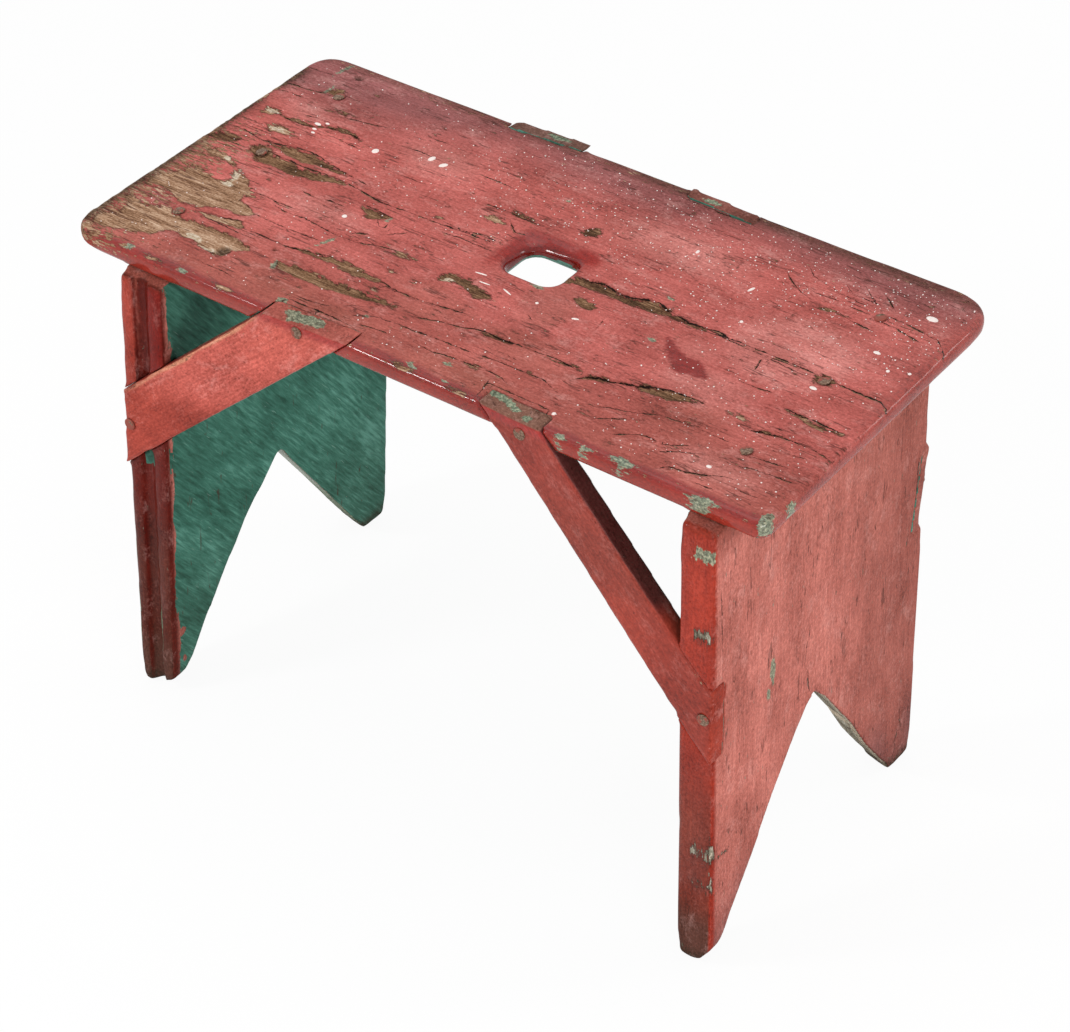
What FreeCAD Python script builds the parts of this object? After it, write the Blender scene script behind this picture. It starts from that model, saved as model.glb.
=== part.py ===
import FreeCAD, Part
import math
import os

import Sketcher

# Bucket bench: a short nailed board bench with two end boards, four diagonal braces and a hand hole.
# All lengths are in millimetres. The layout frame has X along the seat from its left end, Y back from
# the seat's front edge and Z up from the floor. The finished pieces are moved so that the origin is
# on the floor under the middle of the bench.

# Driving dimensions

SIZES = {
    # Seat board
    "bench_height": 360.0,
    "seat_length": 530.0,
    "seat_width": 260.0,
    "seat_thickness": 13.0,
    "seat_flare": 4.5,
    "seat_skew": 1.0,
    "seat_front_left_round": 20.0,
    "seat_back_left_round": 18.0,
    "seat_front_right_round": 10.0,
    "seat_back_right_round": 25.0,
    "seat_arris_round": 2.5,
    # Hand hole
    "hand_hole_length": 40.0,
    "hand_hole_width": 35.0,
    "hand_hole_round": 9.5,
    "hand_hole_from_left": 253.8,
    "hand_hole_from_front": 121.2,
    "hand_hole_rim_round": 5.0,
    # End boards
    "end_board_width": 240.0,
    "end_board_overhang": 10.0,
    "end_board_arris_round": 2.5,
    "foot_round": 4.0,
    "left_board_inset": 50.3,
    "left_board_top_thickness": 36.0,
    "left_board_foot_thickness": 28.7,
    "left_board_splay": 15.5,
    "left_board_skew": 5.0,
    "left_board_lead": 5.0,
    "left_cut_rise": 141.0,
    "left_cut_drift": 9.0,
    "left_toe_wear_run": 20.0,
    "left_toe_wear_rise": 11.0,
    "groove_width": 10.0,
    "groove_depth": 6.0,
    "groove_bottom_round": 2.5,
    "right_board_inset": 26.1,
    "right_board_extra_width": 4.0,
    "right_board_thickness": 25.2,
    "right_board_splay": 5.9,
    "right_board_skew": 2.0,
    "right_board_lead": 3.5,
    "right_cut_rise": 146.0,
    "right_cut_drift": 6.3,
    "right_toe_wear_run": 9.0,
    "right_toe_wear_rise": 14.0,
    # Braces
    "front_brace_thickness": 15.0,
    "back_brace_thickness": 11.0,
    "brace_arris_round": 1.5,
    "brace_side_gap": 0.3,
    "front_left_brace_top": 197.9,
    "front_left_brace_foot": 225.0,
    "front_left_brace_width": 42.5,
    "front_left_brace_foot_width": 43.0,
    "front_left_brace_top_stand": 0.9,
    "front_left_brace_foot_stand": 3.0,
    "front_right_brace_top": 349.9,
    "front_right_brace_foot": 201.0,
    "front_right_brace_width": 32.0,
    "front_right_brace_foot_width": 38.0,
    "front_right_brace_top_stand": 0.1,
    "front_right_brace_foot_stand": 1.5,
    "back_left_brace_top": 192.5,
    "back_left_brace_foot": 231.0,
    "back_left_brace_width": 37.5,
    "back_left_brace_foot_width": 38.0,
    "back_left_brace_top_stand": 5.3,
    "back_left_brace_foot_stand": 5.0,
    "back_right_brace_top": 328.0,
    "back_right_brace_foot": 226.0,
    "back_right_brace_width": 32.0,
    "back_right_brace_foot_width": 48.0,
    "back_right_brace_top_stand": 0.1,
    "back_right_brace_foot_stand": 0.1,
    # Wire nails
    "nail_head_radius": 4.1,
    "nail_head_thickness": 1.3,
    "nail_head_stand": 0.6,
    "nail_shank_radius": 1.88,
    "nail_point_length": 4.0,
    "seat_nail_length": 70.0,
    "front_brace_nail_length": 48.0,
    "back_brace_nail_length": 40.0,
    "seat_nail_drift": 14.5,
    "seat_nail_dent_margin": 0.9,
    "seat_nail_dent_depth": 1.0,
    "brace_nail_inset": 6.0,
    # How far the cutting shapes run past what they cut
    "overrun": 30.0,
}

# The V cut between the feet: shares of the end board's width and of the cut's rise
LEFT_CUT_SHARES = (
    (0.047, 0.0),
    (0.073, 0.099),
    (0.160, 0.319),
    (0.252, 0.532),
    (0.352, 0.752),
    (0.452, 0.915),
    (0.494, 0.986),
    (0.506, 1.0),
    (0.5225, 0.979),
    (0.555, 0.887),
    (0.706, 0.510),
    (0.838, 0.174),
    (0.905, 0.0),
)
RIGHT_CUT_SHARES = (
    (0.032, 0.0),
    (0.100, 0.199),
    (0.200, 0.425),
    (0.291, 0.645),
    (0.343, 0.760),
    (0.392, 0.869),
    (0.444, 0.966),
    (0.477, 1.0),
    (0.534, 0.903),
    (0.679, 0.564),
    (0.761, 0.337),
    (0.882, 0.055),
    (0.895, 0.0),
)

# Where the slanting seat nails enter the end boards: shares of the board's width and of its thickness
LEFT_NAIL_SHARES = ((0.260, 0.08), (0.610, 0.08), (0.954, 0.08))
RIGHT_NAIL_SHARES = ((0.262, 0.30), (0.608, 0.34), (0.918, 0.09))

# The groove's middle: a share of the left board's thickness, from its outer face
GROOVE_MIDDLE_SHARE = 0.486

# How far down the seat's thickness each brace's top nail goes in
TOP_NAIL_DEPTH_SHARES = {
    "front_left_brace": 0.5,
    "front_right_brace": 0.75,
    "back_left_brace": 0.5,
    "back_right_brace": 0.5,
}

# How far each brace's face turns from square to its run towards level: none in front, half way behind
FACE_LEAN_SHARES = {-1: 0.0, 1: 0.5}

X_AXIS = FreeCAD.Vector(1, 0, 0)
Y_AXIS = FreeCAD.Vector(0, 1, 0)
Z_AXIS = FreeCAD.Vector(0, 0, 1)

doc = FreeCAD.newDocument("BucketBench")
sheet = doc.addObject("Spreadsheet::Sheet", "Sizes")
for row, (alias, value) in enumerate(SIZES.items(), start=1):
    sheet.set("A%d" % row, alias)
    sheet.set("B%d" % row, str(value))
    sheet.setAlias("B%d" % row, alias)
doc.recompute()


def size(alias):
    """Return one size from the sheet."""
    return float(sheet.get(alias))


def worked_out(expression):
    """Return the value of an expression of sheet sizes."""
    result = sheet.evalExpression(expression)
    return float(getattr(result, "Value", result))


# Sketches and features

def base_plane(body, role):
    """Return the body's own origin plane with the given role."""
    for feature in body.Origin.OriginFeatures:
        if feature.Role == role:
            return feature
    raise ValueError(role)


def new_body(label):
    """Make an empty body."""
    body = doc.addObject("PartDesign::Body", label)
    body.Label = label
    return body


def new_sketch(body, name, role):
    """Make a sketch on one of the body's origin planes."""
    sketch = body.newObject("Sketcher::SketchObject", name)
    sketch.AttachmentSupport = [(base_plane(body, role), "")]
    sketch.MapMode = "FlatFace"
    return sketch


def outline(body, name, role, corners):
    """Draw a closed outline whose corners are pairs of expressions, each bound to the sheet."""
    sketch = new_sketch(body, name, role)
    places = [FreeCAD.Vector(worked_out(across), worked_out(up), 0) for across, up in corners]
    count = len(corners)
    for i in range(count):
        sketch.addGeometry(Part.LineSegment(places[i], places[(i + 1) % count]), False)
    for i in range(count):
        sketch.addConstraint(Sketcher.Constraint("Coincident", i, 2, (i + 1) % count, 1))
    for i, pair in enumerate(corners):
        for kind, expression, reach in zip(("DistanceX", "DistanceY"), pair, places[i]):
            sketch.addConstraint(Sketcher.Constraint(kind, -1, 1, i, 1, reach))
            label = "corner_%d_%s" % (i, kind)
            sketch.renameConstraint(sketch.ConstraintCount - 1, label)
            sketch.setExpression("Constraints." + label, bound(expression))
    return sketch


def bound(expression):
    """Return an expression of sheet sizes as other objects write it."""
    words = expression
    for alias in sorted(SIZES, key=len, reverse=True):
        words = replace_word(words, alias)
    return words


def replace_word(text, alias):
    """Put the sheet's name before each whole word alias in the text."""
    pieces = []
    start = 0
    while True:
        at = text.find(alias, start)
        if at < 0:
            pieces.append(text[start:])
            return "".join(pieces)
        end = at + len(alias)
        before = text[at - 1] if at else " "
        after = text[end] if end < len(text) else " "
        whole = not (before.isalnum() or before in "_.") and not (after.isalnum() or after == "_")
        pieces.append(text[start:at] + ("Sizes." if whole else "") + alias)
        start = end


def pad(body, sketch, length, reverse=False):
    """Pad a sketch by an expression of sheet sizes."""
    feature = body.newObject("PartDesign::Pad", sketch.Name + "_pad")
    feature.Profile = sketch
    feature.setExpression("Length", bound(length))
    feature.Reversed = reverse
    doc.recompute()
    return feature


def pocket(body, sketch, length, reverse=False):
    """Cut a sketch into the body by an expression of sheet sizes, and see that it removes wood."""
    before = body.Shape.Volume
    feature = body.newObject("PartDesign::Pocket", sketch.Name + "_pocket")
    feature.Profile = sketch
    feature.setExpression("Length", bound(length))
    feature.Reversed = reverse
    doc.recompute()
    if not body.Shape.Volume < before:
        raise RuntimeError(sketch.Name + " cuts nothing")
    return feature


def round_edges(body, name, radius, wanted):
    """Fillet the edges of the body's shape that the wanted test picks."""
    names = ["Edge%d" % i for i, edge in enumerate(body.Shape.Edges, start=1) if wanted(edge)]
    if not names:
        raise RuntimeError(name + " finds no edge")
    base = body.Tip
    feature = body.newObject("PartDesign::Fillet", name)
    feature.Base = (base, names)
    feature.setExpression("Radius", bound(radius))
    doc.recompute()
    if "Invalid" in feature.State:
        raise RuntimeError(name + " failed")
    return feature


def along(edge, axis):
    """Tell whether an edge is straight and runs along an axis."""
    if len(edge.Vertexes) < 2:
        return False
    run = edge.Vertexes[1].Point.sub(edge.Vertexes[0].Point)
    if not math.isclose(run.Length, edge.Length, rel_tol=1e-6):
        return False
    return abs(run.normalize().dot(axis)) > math.cos(math.radians(15))


def near(value, target):
    """Tell whether two lengths are the same for picking edges."""
    return math.isclose(value, target, rel_tol=1e-6, abs_tol=size("seat_thickness") / 1000)


def cut_through(body, sketch, direction=X_AXIS):
    """Cut a sketch on the YZ plane right through an end board, square or on a slant."""
    feature = pocket(body, sketch, "left_board_top_thickness + overrun")
    feature.Midplane = True
    feature.setExpression("Length", bound("2 * (left_board_top_thickness + overrun)"))
    feature.UseCustomVector = True
    feature.Direction = direction
    doc.recompute()


def cut(label, base, tools):
    """Cut a row of tools from a base, one after the other."""
    for number, tool in enumerate(tools, start=1):
        result = doc.addObject("Part::Cut", "%s_cut_%d" % (label, number))
        result.Base = base
        result.Tool = tool
        base = result
    base.Label = label
    doc.recompute()
    return base


# Origin and levels

board_height = "bench_height - seat_thickness"
origin = FreeCAD.Vector(
    -worked_out("seat_length / 2"),
    -worked_out(
        "(seat_width + back_left_brace_top_stand - end_board_overhang - left_board_lead) / 2"
    ),
    0,
)


def laid(place, rotation=FreeCAD.Rotation()):
    """Return the placement of a piece from its place in the layout frame."""
    return FreeCAD.Placement(origin.add(place), rotation)


# Seat board

seat_blank = new_body("seat_blank")
seat_outline = outline(
    seat_blank,
    "seat_outline",
    "XY_Plane",
    (
        ("0", "0"),
        ("seat_length + seat_skew", "0"),
        ("seat_length - seat_skew", "seat_width + seat_flare"),
        ("0", "seat_width"),
    ),
)
pad(seat_blank, seat_outline, "seat_thickness")

corner_rounds = (
    ("seat_front_left_round", "0", "0"),
    ("seat_front_right_round", "seat_length + seat_skew", "0"),
    ("seat_back_right_round", "seat_length - seat_skew", "seat_width + seat_flare"),
    ("seat_back_left_round", "0", "seat_width"),
)
for corner_round, corner_across, corner_back in corner_rounds:
    corner_x = worked_out(corner_across)
    corner_y = worked_out(corner_back)
    round_edges(
        seat_blank,
        corner_round + "_fillet",
        corner_round,
        lambda edge: along(edge, Z_AXIS)
        and near(edge.Vertexes[0].Point.x, corner_x)
        and near(edge.Vertexes[0].Point.y, corner_y),
    )

# Hand hole, with round corners and a rounded rim on both faces
hole_near = "hand_hole_from_front"
hole_far = "hand_hole_from_front + hand_hole_width"
hole_left = "hand_hole_from_left"
hole_right = "hand_hole_from_left + hand_hole_length"
hole_outline = outline(
    seat_blank,
    "hand_hole_outline",
    "XY_Plane",
    ((hole_left, hole_near), (hole_right, hole_near), (hole_right, hole_far), (hole_left, hole_far)),
)
pocket(seat_blank, hole_outline, "seat_thickness + overrun", reverse=True)


def in_hole(edge):
    """Tell whether an edge lies on the hand hole's outline."""
    middle = edge.CenterOfMass
    rim = size("seat_thickness")
    across = worked_out(hole_left) - rim < middle.x < worked_out(hole_right) + rim
    back = worked_out(hole_near) - rim < middle.y < worked_out(hole_far) + rim
    return across and back


round_edges(
    seat_blank,
    "hand_hole_corners",
    "hand_hole_round",
    lambda edge: in_hole(edge) and along(edge, Z_AXIS),
)
round_edges(
    seat_blank,
    "hand_hole_rim",
    "hand_hole_rim_round",
    lambda edge: in_hole(edge) and near(edge.CenterOfMass.z, size("seat_thickness")),
)
round_edges(
    seat_blank,
    "hand_hole_underside",
    "seat_arris_round",
    lambda edge: in_hole(edge) and near(edge.CenterOfMass.z, 0.0),
)
round_edges(
    seat_blank,
    "seat_top_arris",
    "seat_arris_round",
    lambda edge: not in_hole(edge) and near(edge.CenterOfMass.z, size("seat_thickness")),
)
round_edges(
    seat_blank,
    "seat_bottom_arris",
    "seat_arris_round",
    lambda edge: not in_hole(edge) and near(edge.CenterOfMass.z, 0.0),
)
seat_blank.Placement = laid(FreeCAD.Vector(0, 0, worked_out(board_height)))

# End boards, each in a frame with X = 0 at its outer face under the seat and Y = 0 at its front edge there
board_widths = {"left_board": "end_board_width", "right_board": "end_board_width + right_board_extra_width"}


def end_board(label, profile, width, lead, cut_shares, cut_rise, cut_slant):
    """Make an end board from its thickness profile, its width, its front edge's lead and its V cut.

    The V was sawn on a slant: the cut drifts back by the slant's first size over its second.
    """
    body = new_body(label)
    whole = pad(body, outline(body, label + "_profile", "XZ_Plane", profile), width, reverse=True)
    whole.SideType = "Two sides"
    whole.setExpression("Length2", bound(lead))
    doc.recompute()
    slope = "overrun * %s / (%s)" % (lead, board_height)
    front_corners = (
        ("0 - 2 * overrun", "0 - overrun"),
        ("0 - %s - %s" % (lead, slope), "0 - overrun"),
        (slope, board_height + " + overrun"),
        ("0 - 2 * overrun", board_height + " + overrun"),
    )
    cut_through(body, outline(body, label + "_front_edge", "YZ_Plane", front_corners))
    round_edges(body, label + "_arrises", "end_board_arris_round", lambda edge: along(edge, Z_AXIS))
    corners = [("(%s) * %g" % (width, across), cut_rise + " * %g" % up) for across, up in cut_shares]
    corners[0] = (corners[0][0], "0 - overrun")
    corners[-1] = (corners[-1][0], "0 - overrun")
    first, last = cut_shares[0][0], cut_shares[-1][0]
    corners.insert(1, ("(%s) * %g" % (width, first), "0"))
    corners.insert(len(corners) - 1, ("(%s) * %g" % (width, last), "0"))
    drift, depth = cut_slant
    direction = FreeCAD.Vector(size(depth), -size(drift), 0)
    cut_through(body, outline(body, label + "_v_cut", "YZ_Plane", corners), direction)
    foot_edges = (-size(lead), worked_out(width))
    round_edges(
        body,
        label + "_feet",
        "foot_round",
        lambda edge: near(edge.CenterOfMass.z, 0.0)
        and along(edge, X_AXIS)
        and any(near(edge.CenterOfMass.y, place) for place in foot_edges),
    )
    return body


left_board_blank = end_board(
    "left_board_blank",
    (
        ("0 - left_board_splay", "0"),
        ("left_board_foot_thickness - left_board_splay", "0"),
        ("left_board_top_thickness", board_height),
        ("0", board_height),
    ),
    board_widths["left_board"],
    "left_board_lead",
    LEFT_CUT_SHARES,
    "left_cut_rise",
    ("left_cut_drift", "left_board_top_thickness"),
)
right_board_blank = end_board(
    "right_board_blank",
    (
        ("right_board_splay", "0"),
        ("right_board_splay - right_board_thickness", "0"),
        ("0 - right_board_thickness", board_height),
        ("0", board_height),
    ),
    board_widths["right_board"],
    "right_board_lead",
    RIGHT_CUT_SHARES,
    "right_cut_rise",
    ("right_cut_drift", "right_board_thickness"),
)

# Both boards' back edges stand a little further left than their front edges


def board_placement(across, skew):
    """Return an end board's placement from its outer face under the seat's front and its skew."""
    turn = math.degrees(math.atan(worked_out(skew + " / end_board_width")))
    return laid(FreeCAD.Vector(worked_out(across), -size("end_board_overhang"), 0), FreeCAD.Rotation(Z_AXIS, turn))


left_board_blank.Placement = board_placement("left_board_inset", "left_board_skew")
right_board_blank.Placement = board_placement("seat_length - right_board_inset", "right_board_skew")

# The groove down the left board's front edge, from top to foot
groove_cutter = new_body("groove_cutter")
groove_sketch = outline(
    groove_cutter,
    "groove",
    "XY_Plane",
    (
        ("0 - groove_width / 2", "0 - overrun"),
        ("groove_width / 2", "0 - overrun"),
        ("groove_width / 2", "groove_depth"),
        ("0 - groove_width / 2", "groove_depth"),
    ),
)
pad(groove_cutter, groove_sketch, "bench_height + 2 * overrun")
round_edges(
    groove_cutter,
    "groove_bottom",
    "groove_bottom_round",
    lambda edge: along(edge, Z_AXIS) and near(edge.CenterOfMass.y, size("groove_depth")),
)
groove_top = FreeCAD.Vector(
    worked_out("left_board_top_thickness * %g" % GROOVE_MIDDLE_SHARE), 0, worked_out(board_height)
)
groove_foot = FreeCAD.Vector(
    worked_out("left_board_foot_thickness * %g - left_board_splay" % GROOVE_MIDDLE_SHARE),
    -size("left_board_lead"),
    0,
)
groove_line = groove_top.sub(groove_foot).normalize()
groove_cutter.Placement = left_board_blank.Placement.multiply(
    FreeCAD.Placement(groove_foot.sub(groove_line * size("overrun")), FreeCAD.Rotation(Z_AXIS, groove_line))
)

# Blocks for trimming: above the seat and outside the end boards for the braces, and under the worn toes


def trim_box(label, length, width, depth, placement):
    """Make a box whose edges are expressions of sheet sizes."""
    box = doc.addObject("Part::Box", label)
    box.setExpression("Length", bound(length))
    box.setExpression("Width", bound(width))
    box.setExpression("Height", bound(depth))
    box.Placement = placement
    return box


above_seat = trim_box(
    "above_seat",
    "seat_length",
    "seat_width + 4 * overrun",
    "4 * overrun",
    laid(FreeCAD.Vector(0, -worked_out("2 * overrun"), size("bench_height"))),
)


def outside_board(label, board, splay_angle, side):
    """Make the block of space outside an end board's outer face; side is -1 left and 1 right."""
    top = FreeCAD.Vector(0, 0, worked_out(board_height))
    block_x = 0 if side > 0 else -worked_out("4 * overrun")
    block_start = FreeCAD.Vector(block_x, -worked_out("2 * overrun"), -worked_out(board_height))
    leaning = board.Placement.multiply(FreeCAD.Placement(top, FreeCAD.Rotation(Y_AXIS, splay_angle)))
    placement = leaning.multiply(FreeCAD.Placement(block_start, FreeCAD.Rotation()))
    block_width = "end_board_width + 4 * overrun"
    return trim_box(label, "4 * overrun", block_width, "bench_height + overrun", placement)


left_lean = math.degrees(math.atan(worked_out("left_board_splay / (bench_height - seat_thickness)")))
right_lean = -math.degrees(math.atan(worked_out("right_board_splay / (bench_height - seat_thickness)")))
outside_left = outside_board("outside_left", left_board_blank, left_lean, -1)
outside_right = outside_board("outside_right", right_board_blank, right_lean, 1)


def toe_wear(label, board, corner, run, rise):
    """Make the block under a front foot's worn edge; corner is the unworn edge across the board."""
    angle = math.degrees(math.atan(worked_out("%s / %s" % (rise, run))))
    hinge = FreeCAD.Vector(worked_out("%s - %s" % (corner, run)), 0, 0)
    start = FreeCAD.Vector(-1, -2, -2) * size("overrun")
    sloping = board.Placement.multiply(FreeCAD.Placement(hinge, FreeCAD.Rotation(Y_AXIS, -angle)))
    placement = sloping.multiply(FreeCAD.Placement(start, FreeCAD.Rotation()))
    return trim_box(label, "4 * overrun", "4 * overrun", "2 * overrun", placement)


left_toe_wear = toe_wear(
    "left_toe_wear",
    left_board_blank,
    "left_board_foot_thickness - left_board_splay",
    "left_toe_wear_run",
    "left_toe_wear_rise",
)
right_toe_wear = toe_wear(
    "right_toe_wear",
    right_board_blank,
    "right_board_splay",
    "right_toe_wear_run",
    "right_toe_wear_rise",
)

# Nails: a wire nail in a frame with Z = 0 on the wood's face and its point down


def nail(label, length, placement):
    """Make one wire nail."""
    body = new_body(label)
    sketch = outline(
        body,
        label + "_half",
        "XZ_Plane",
        (
            ("0", "nail_head_stand"),
            ("nail_head_radius", "nail_head_stand"),
            ("nail_head_radius", "nail_head_stand - nail_head_thickness"),
            ("nail_shank_radius", "nail_head_stand - nail_head_thickness"),
            ("nail_shank_radius", "nail_head_stand + nail_point_length - " + length),
            ("0", "nail_head_stand - " + length),
        ),
    )
    turn = body.newObject("PartDesign::Revolution", label + "_turn")
    turn.Profile = sketch
    turn.ReferenceAxis = (sketch, ["V_Axis"])
    body.Placement = placement
    doc.recompute()
    return body


def nail_group(label, length, placements):
    """Make a row of like nails as one group of separate solids."""
    group = doc.addObject("Part::Compound", label)
    group.Label = label
    group.Links = [nail("%s_%d" % (label, i), length, place) for i, place in enumerate(placements, start=1)]
    doc.recompute()
    return group


def seat_nail_places(shares, across, thickness, skew):
    """Return where nails enter the seat on their slant down into an end board, from its left face."""
    slant = math.asin(worked_out("seat_nail_drift / seat_nail_length"))
    turn = FreeCAD.Rotation(Y_AXIS, -math.degrees(slant))
    head_shift = size("seat_thickness") * math.tan(slant)
    places = []
    for width_share, thickness_share in shares:
        left = worked_out("%s + %g * %s - %g * %s" % (across, thickness_share, thickness, width_share, skew))
        back = width_share * size("end_board_width") - size("end_board_overhang")
        places.append(laid(FreeCAD.Vector(left - head_shift, back, size("bench_height")), turn))
    return places


def dents(label, placements):
    """Make the round blocks that sink each slanting nail head's place into the seat."""
    group = doc.addObject("Part::Compound", label)
    links = []
    for number, place in enumerate(placements, start=1):
        block = doc.addObject("Part::Cylinder", "%s_%d" % (label, number))
        block.setExpression("Radius", bound("nail_head_radius + seat_nail_dent_margin"))
        block.setExpression("Height", bound("seat_nail_dent_depth + overrun"))
        block.Placement.Base = place.Base.sub(FreeCAD.Vector(0, 0, size("seat_nail_dent_depth")))
        links.append(block)
    group.Links = links
    doc.recompute()
    return group


left_nail_places = seat_nail_places(
    LEFT_NAIL_SHARES, "left_board_inset", "left_board_top_thickness", "left_board_skew"
)
right_nail_places = seat_nail_places(
    RIGHT_NAIL_SHARES,
    "seat_length - right_board_inset - right_board_thickness",
    "right_board_thickness",
    "right_board_skew",
)
left_seat_nails = nail_group("left_seat_nails", "seat_nail_length", left_nail_places)
right_seat_nails = nail_group("right_seat_nails", "seat_nail_length", right_nail_places)
seat_dents = dents("seat_dents", left_nail_places + right_nail_places)

# Braces: each runs straight from the seat's edge down to the outer face of an end board


class Brace:
    """One diagonal brace, its nails and the notches cut for it."""

    def __init__(self, label, side, end):
        """Work out the brace's line; side is -1 in front and 1 behind, end is -1 left and 1 right."""
        self.label = label
        self.side = side
        self.end = end
        self.board = "left_board" if end < 0 else "right_board"
        self.thickness = "front_brace_thickness" if side < 0 else "back_brace_thickness"
        self.nail_length = "front_brace_nail_length" if side < 0 else "back_brace_nail_length"
        top_x = size(label + "_top")
        foot_z = size(label + "_foot")
        top_y = self.seat_edge(top_x) + side * size(label + "_top_stand")
        foot_y = self.board_edge(foot_z) + side * size(label + "_foot_stand")
        self.top = FreeCAD.Vector(top_x, top_y, size("bench_height"))
        self.foot = FreeCAD.Vector(self.board_face(foot_z), foot_y, foot_z)
        run = self.foot.sub(self.top)
        self.length = run.Length
        self.direction = run.normalize()
        # The face's normal points out of the bench
        upright = self.facing(FreeCAD.Vector(-self.direction.z, 0, self.direction.x))
        level = self.facing(X_AXIS)
        lean = FACE_LEAN_SHARES[side]
        self.outward = upright.multiply(1 - lean).add(level.multiply(lean)).normalize()

    def facing(self, across):
        """Return the outward normal of the face that holds the run and a direction across it."""
        normal = self.direction.cross(across).normalize()
        return normal if normal.y * self.side > 0 else normal.negative()

    def seat_edge(self, x):
        """Return the seat edge's place in Y at x."""
        if self.side < 0:
            return 0.0
        return size("seat_width") + size("seat_flare") * x / size("seat_length")

    def down(self, z):
        """Return how far z is from the end board's top down to its foot, as a share."""
        return 1 - z / worked_out(board_height)

    def board_edge(self, z):
        """Return the end board's edge in Y at height z, on the brace's side of the bench."""
        if self.side < 0:
            return -size("end_board_overhang") - size(self.board + "_lead") * self.down(z)
        return worked_out(board_widths[self.board] + " - end_board_overhang")

    def board_face(self, z):
        """Return the end board's outer face in X at height z, on the brace's side of the bench."""
        face = size("left_board_inset") if self.end < 0 else worked_out("seat_length - right_board_inset")
        skew = size(self.board + "_skew") if self.side > 0 else 0.0
        return face + self.end * size(self.board + "_splay") * self.down(z) - skew

    def placement(self):
        """Return the placement whose X runs down the brace and whose Z points out of its face."""
        sideways = self.outward.cross(self.direction)
        matrix = FreeCAD.Matrix(
            self.direction.x, sideways.x, self.outward.x, 0,
            self.direction.y, sideways.y, self.outward.y, 0,
            self.direction.z, sideways.z, self.outward.z, 0,
            0, 0, 0, 1,
        )
        return laid(self.top, FreeCAD.Placement(matrix).Rotation)

    def bar(self, label, side_gap, stand, rounded):
        """Make the brace's straight bar, grown by a gap on its sides and a stand on its outer face."""
        body = new_body(label)
        slope = "(%s_foot_width - %s_width) / 2 / %.6f" % (self.label, self.label, self.length)
        top_half = "%s_width / 2 + %s - %s * 3 * overrun" % (self.label, side_gap, slope)
        foot_half = "%s_foot_width / 2 + %s + %s * 3 * overrun" % (self.label, side_gap, slope)
        far = "%.6f + 3 * overrun" % self.length
        near_end = "0 - 3 * overrun"
        corners = (
            (near_end, "0 - (%s)" % top_half),
            (far, "0 - (%s)" % foot_half),
            (far, foot_half),
            (near_end, top_half),
        )
        sketch = outline(body, label + "_face", "XY_Plane", corners)
        if stand:
            upper = pad(body, sketch, self.thickness, reverse=True)
            upper.SideType = "Two sides"
            upper.setExpression("Length2", bound(stand))
            doc.recompute()
        else:
            pad(body, sketch, self.thickness, reverse=True)
        if rounded:
            round_edges(
                body,
                label + "_arrises",
                "brace_arris_round",
                lambda edge: near(edge.CenterOfMass.z, 0.0) and along(edge, X_AXIS),
            )
        body.Placement = self.placement()
        doc.recompute()
        return body

    def nail_place(self, end, inset):
        """Return the placement of a level nail, moved down the brace from one end by an inset."""
        place = end.add(self.direction * inset)
        return laid(place, FreeCAD.Rotation(Z_AXIS, Y_AXIS * self.side))

    def nails(self):
        """Make the nails through the brace into the seat's edge and the end board's edge."""
        drop = size("seat_thickness") * TOP_NAIL_DEPTH_SHARES[self.label] / abs(self.direction.z)
        foot_inset = -size("brace_nail_inset") / abs(self.direction.x)
        return nail_group(
            self.label + "_nails",
            self.nail_length,
            [self.nail_place(self.top, drop), self.nail_place(self.foot, foot_inset)],
        )

    def build(self, outside):
        """Make the brace, its nails and the cutter for the notches that it lies in."""
        blank = self.bar(self.label + "_blank", "0", "", True)
        self.cutter = self.bar(self.label + "_notch", "brace_side_gap", "overrun", False)
        self.nail_set = self.nails()
        self.piece = cut(self.label, blank, [above_seat, outside, self.nail_set])


braces = [
    Brace("front_left_brace", -1, -1),
    Brace("front_right_brace", -1, 1),
    Brace("back_left_brace", 1, -1),
    Brace("back_right_brace", 1, 1),
]
for brace in braces:
    brace.build(outside_left if brace.end < 0 else outside_right)

# Notches and nail holes in the seat and the end boards


def let_in(label, blank, held, others):
    """Cut the notches of the held braces, their nail holes and other shapes into a blank."""
    notches = [brace.cutter for brace in held]
    return cut(label, blank, notches + [brace.nail_set for brace in held] + others)


left_braces = [brace for brace in braces if brace.end < 0]
right_braces = [brace for brace in braces if brace.end > 0]
seat_board = let_in("seat_board", seat_blank, braces, [seat_dents, left_seat_nails, right_seat_nails])
left_end_board = let_in(
    "left_end_board", left_board_blank, left_braces, [groove_cutter, left_toe_wear, left_seat_nails]
)
right_end_board = let_in(
    "right_end_board", right_board_blank, right_braces, [right_toe_wear, right_seat_nails]
)

# Check and write every piece

pieces = [seat_board, left_end_board, right_end_board, left_seat_nails, right_seat_nails]
for brace in braces:
    pieces.append(brace.piece)
    pieces.append(brace.nail_set)

doc.recompute()
for item in doc.Objects:
    if "Invalid" in item.State or "Error" in item.State:
        raise RuntimeError("%s failed: %s" % (item.Name, item.State))
os.makedirs("parts", exist_ok=True)
for piece in pieces:
    if piece.Shape.isNull() or not piece.Shape.isValid():
        raise RuntimeError(piece.Label + " has no valid shape")
for piece in pieces:
    piece.Shape.exportStep(os.path.join("parts", piece.Label + ".step"))
    box = piece.Shape.BoundBox
    print(
        "%-26s solids %d volume %10.1f  x %.1f %.1f  y %.1f %.1f  z %.1f %.1f"
        % (
            piece.Label,
            len(piece.Shape.Solids),
            piece.Shape.Volume,
            box.XMin,
            box.XMax,
            box.YMin,
            box.YMax,
            box.ZMin,
            box.ZMax,
        )
    )
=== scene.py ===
import logging
import math
from dataclasses import dataclass, field

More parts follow.
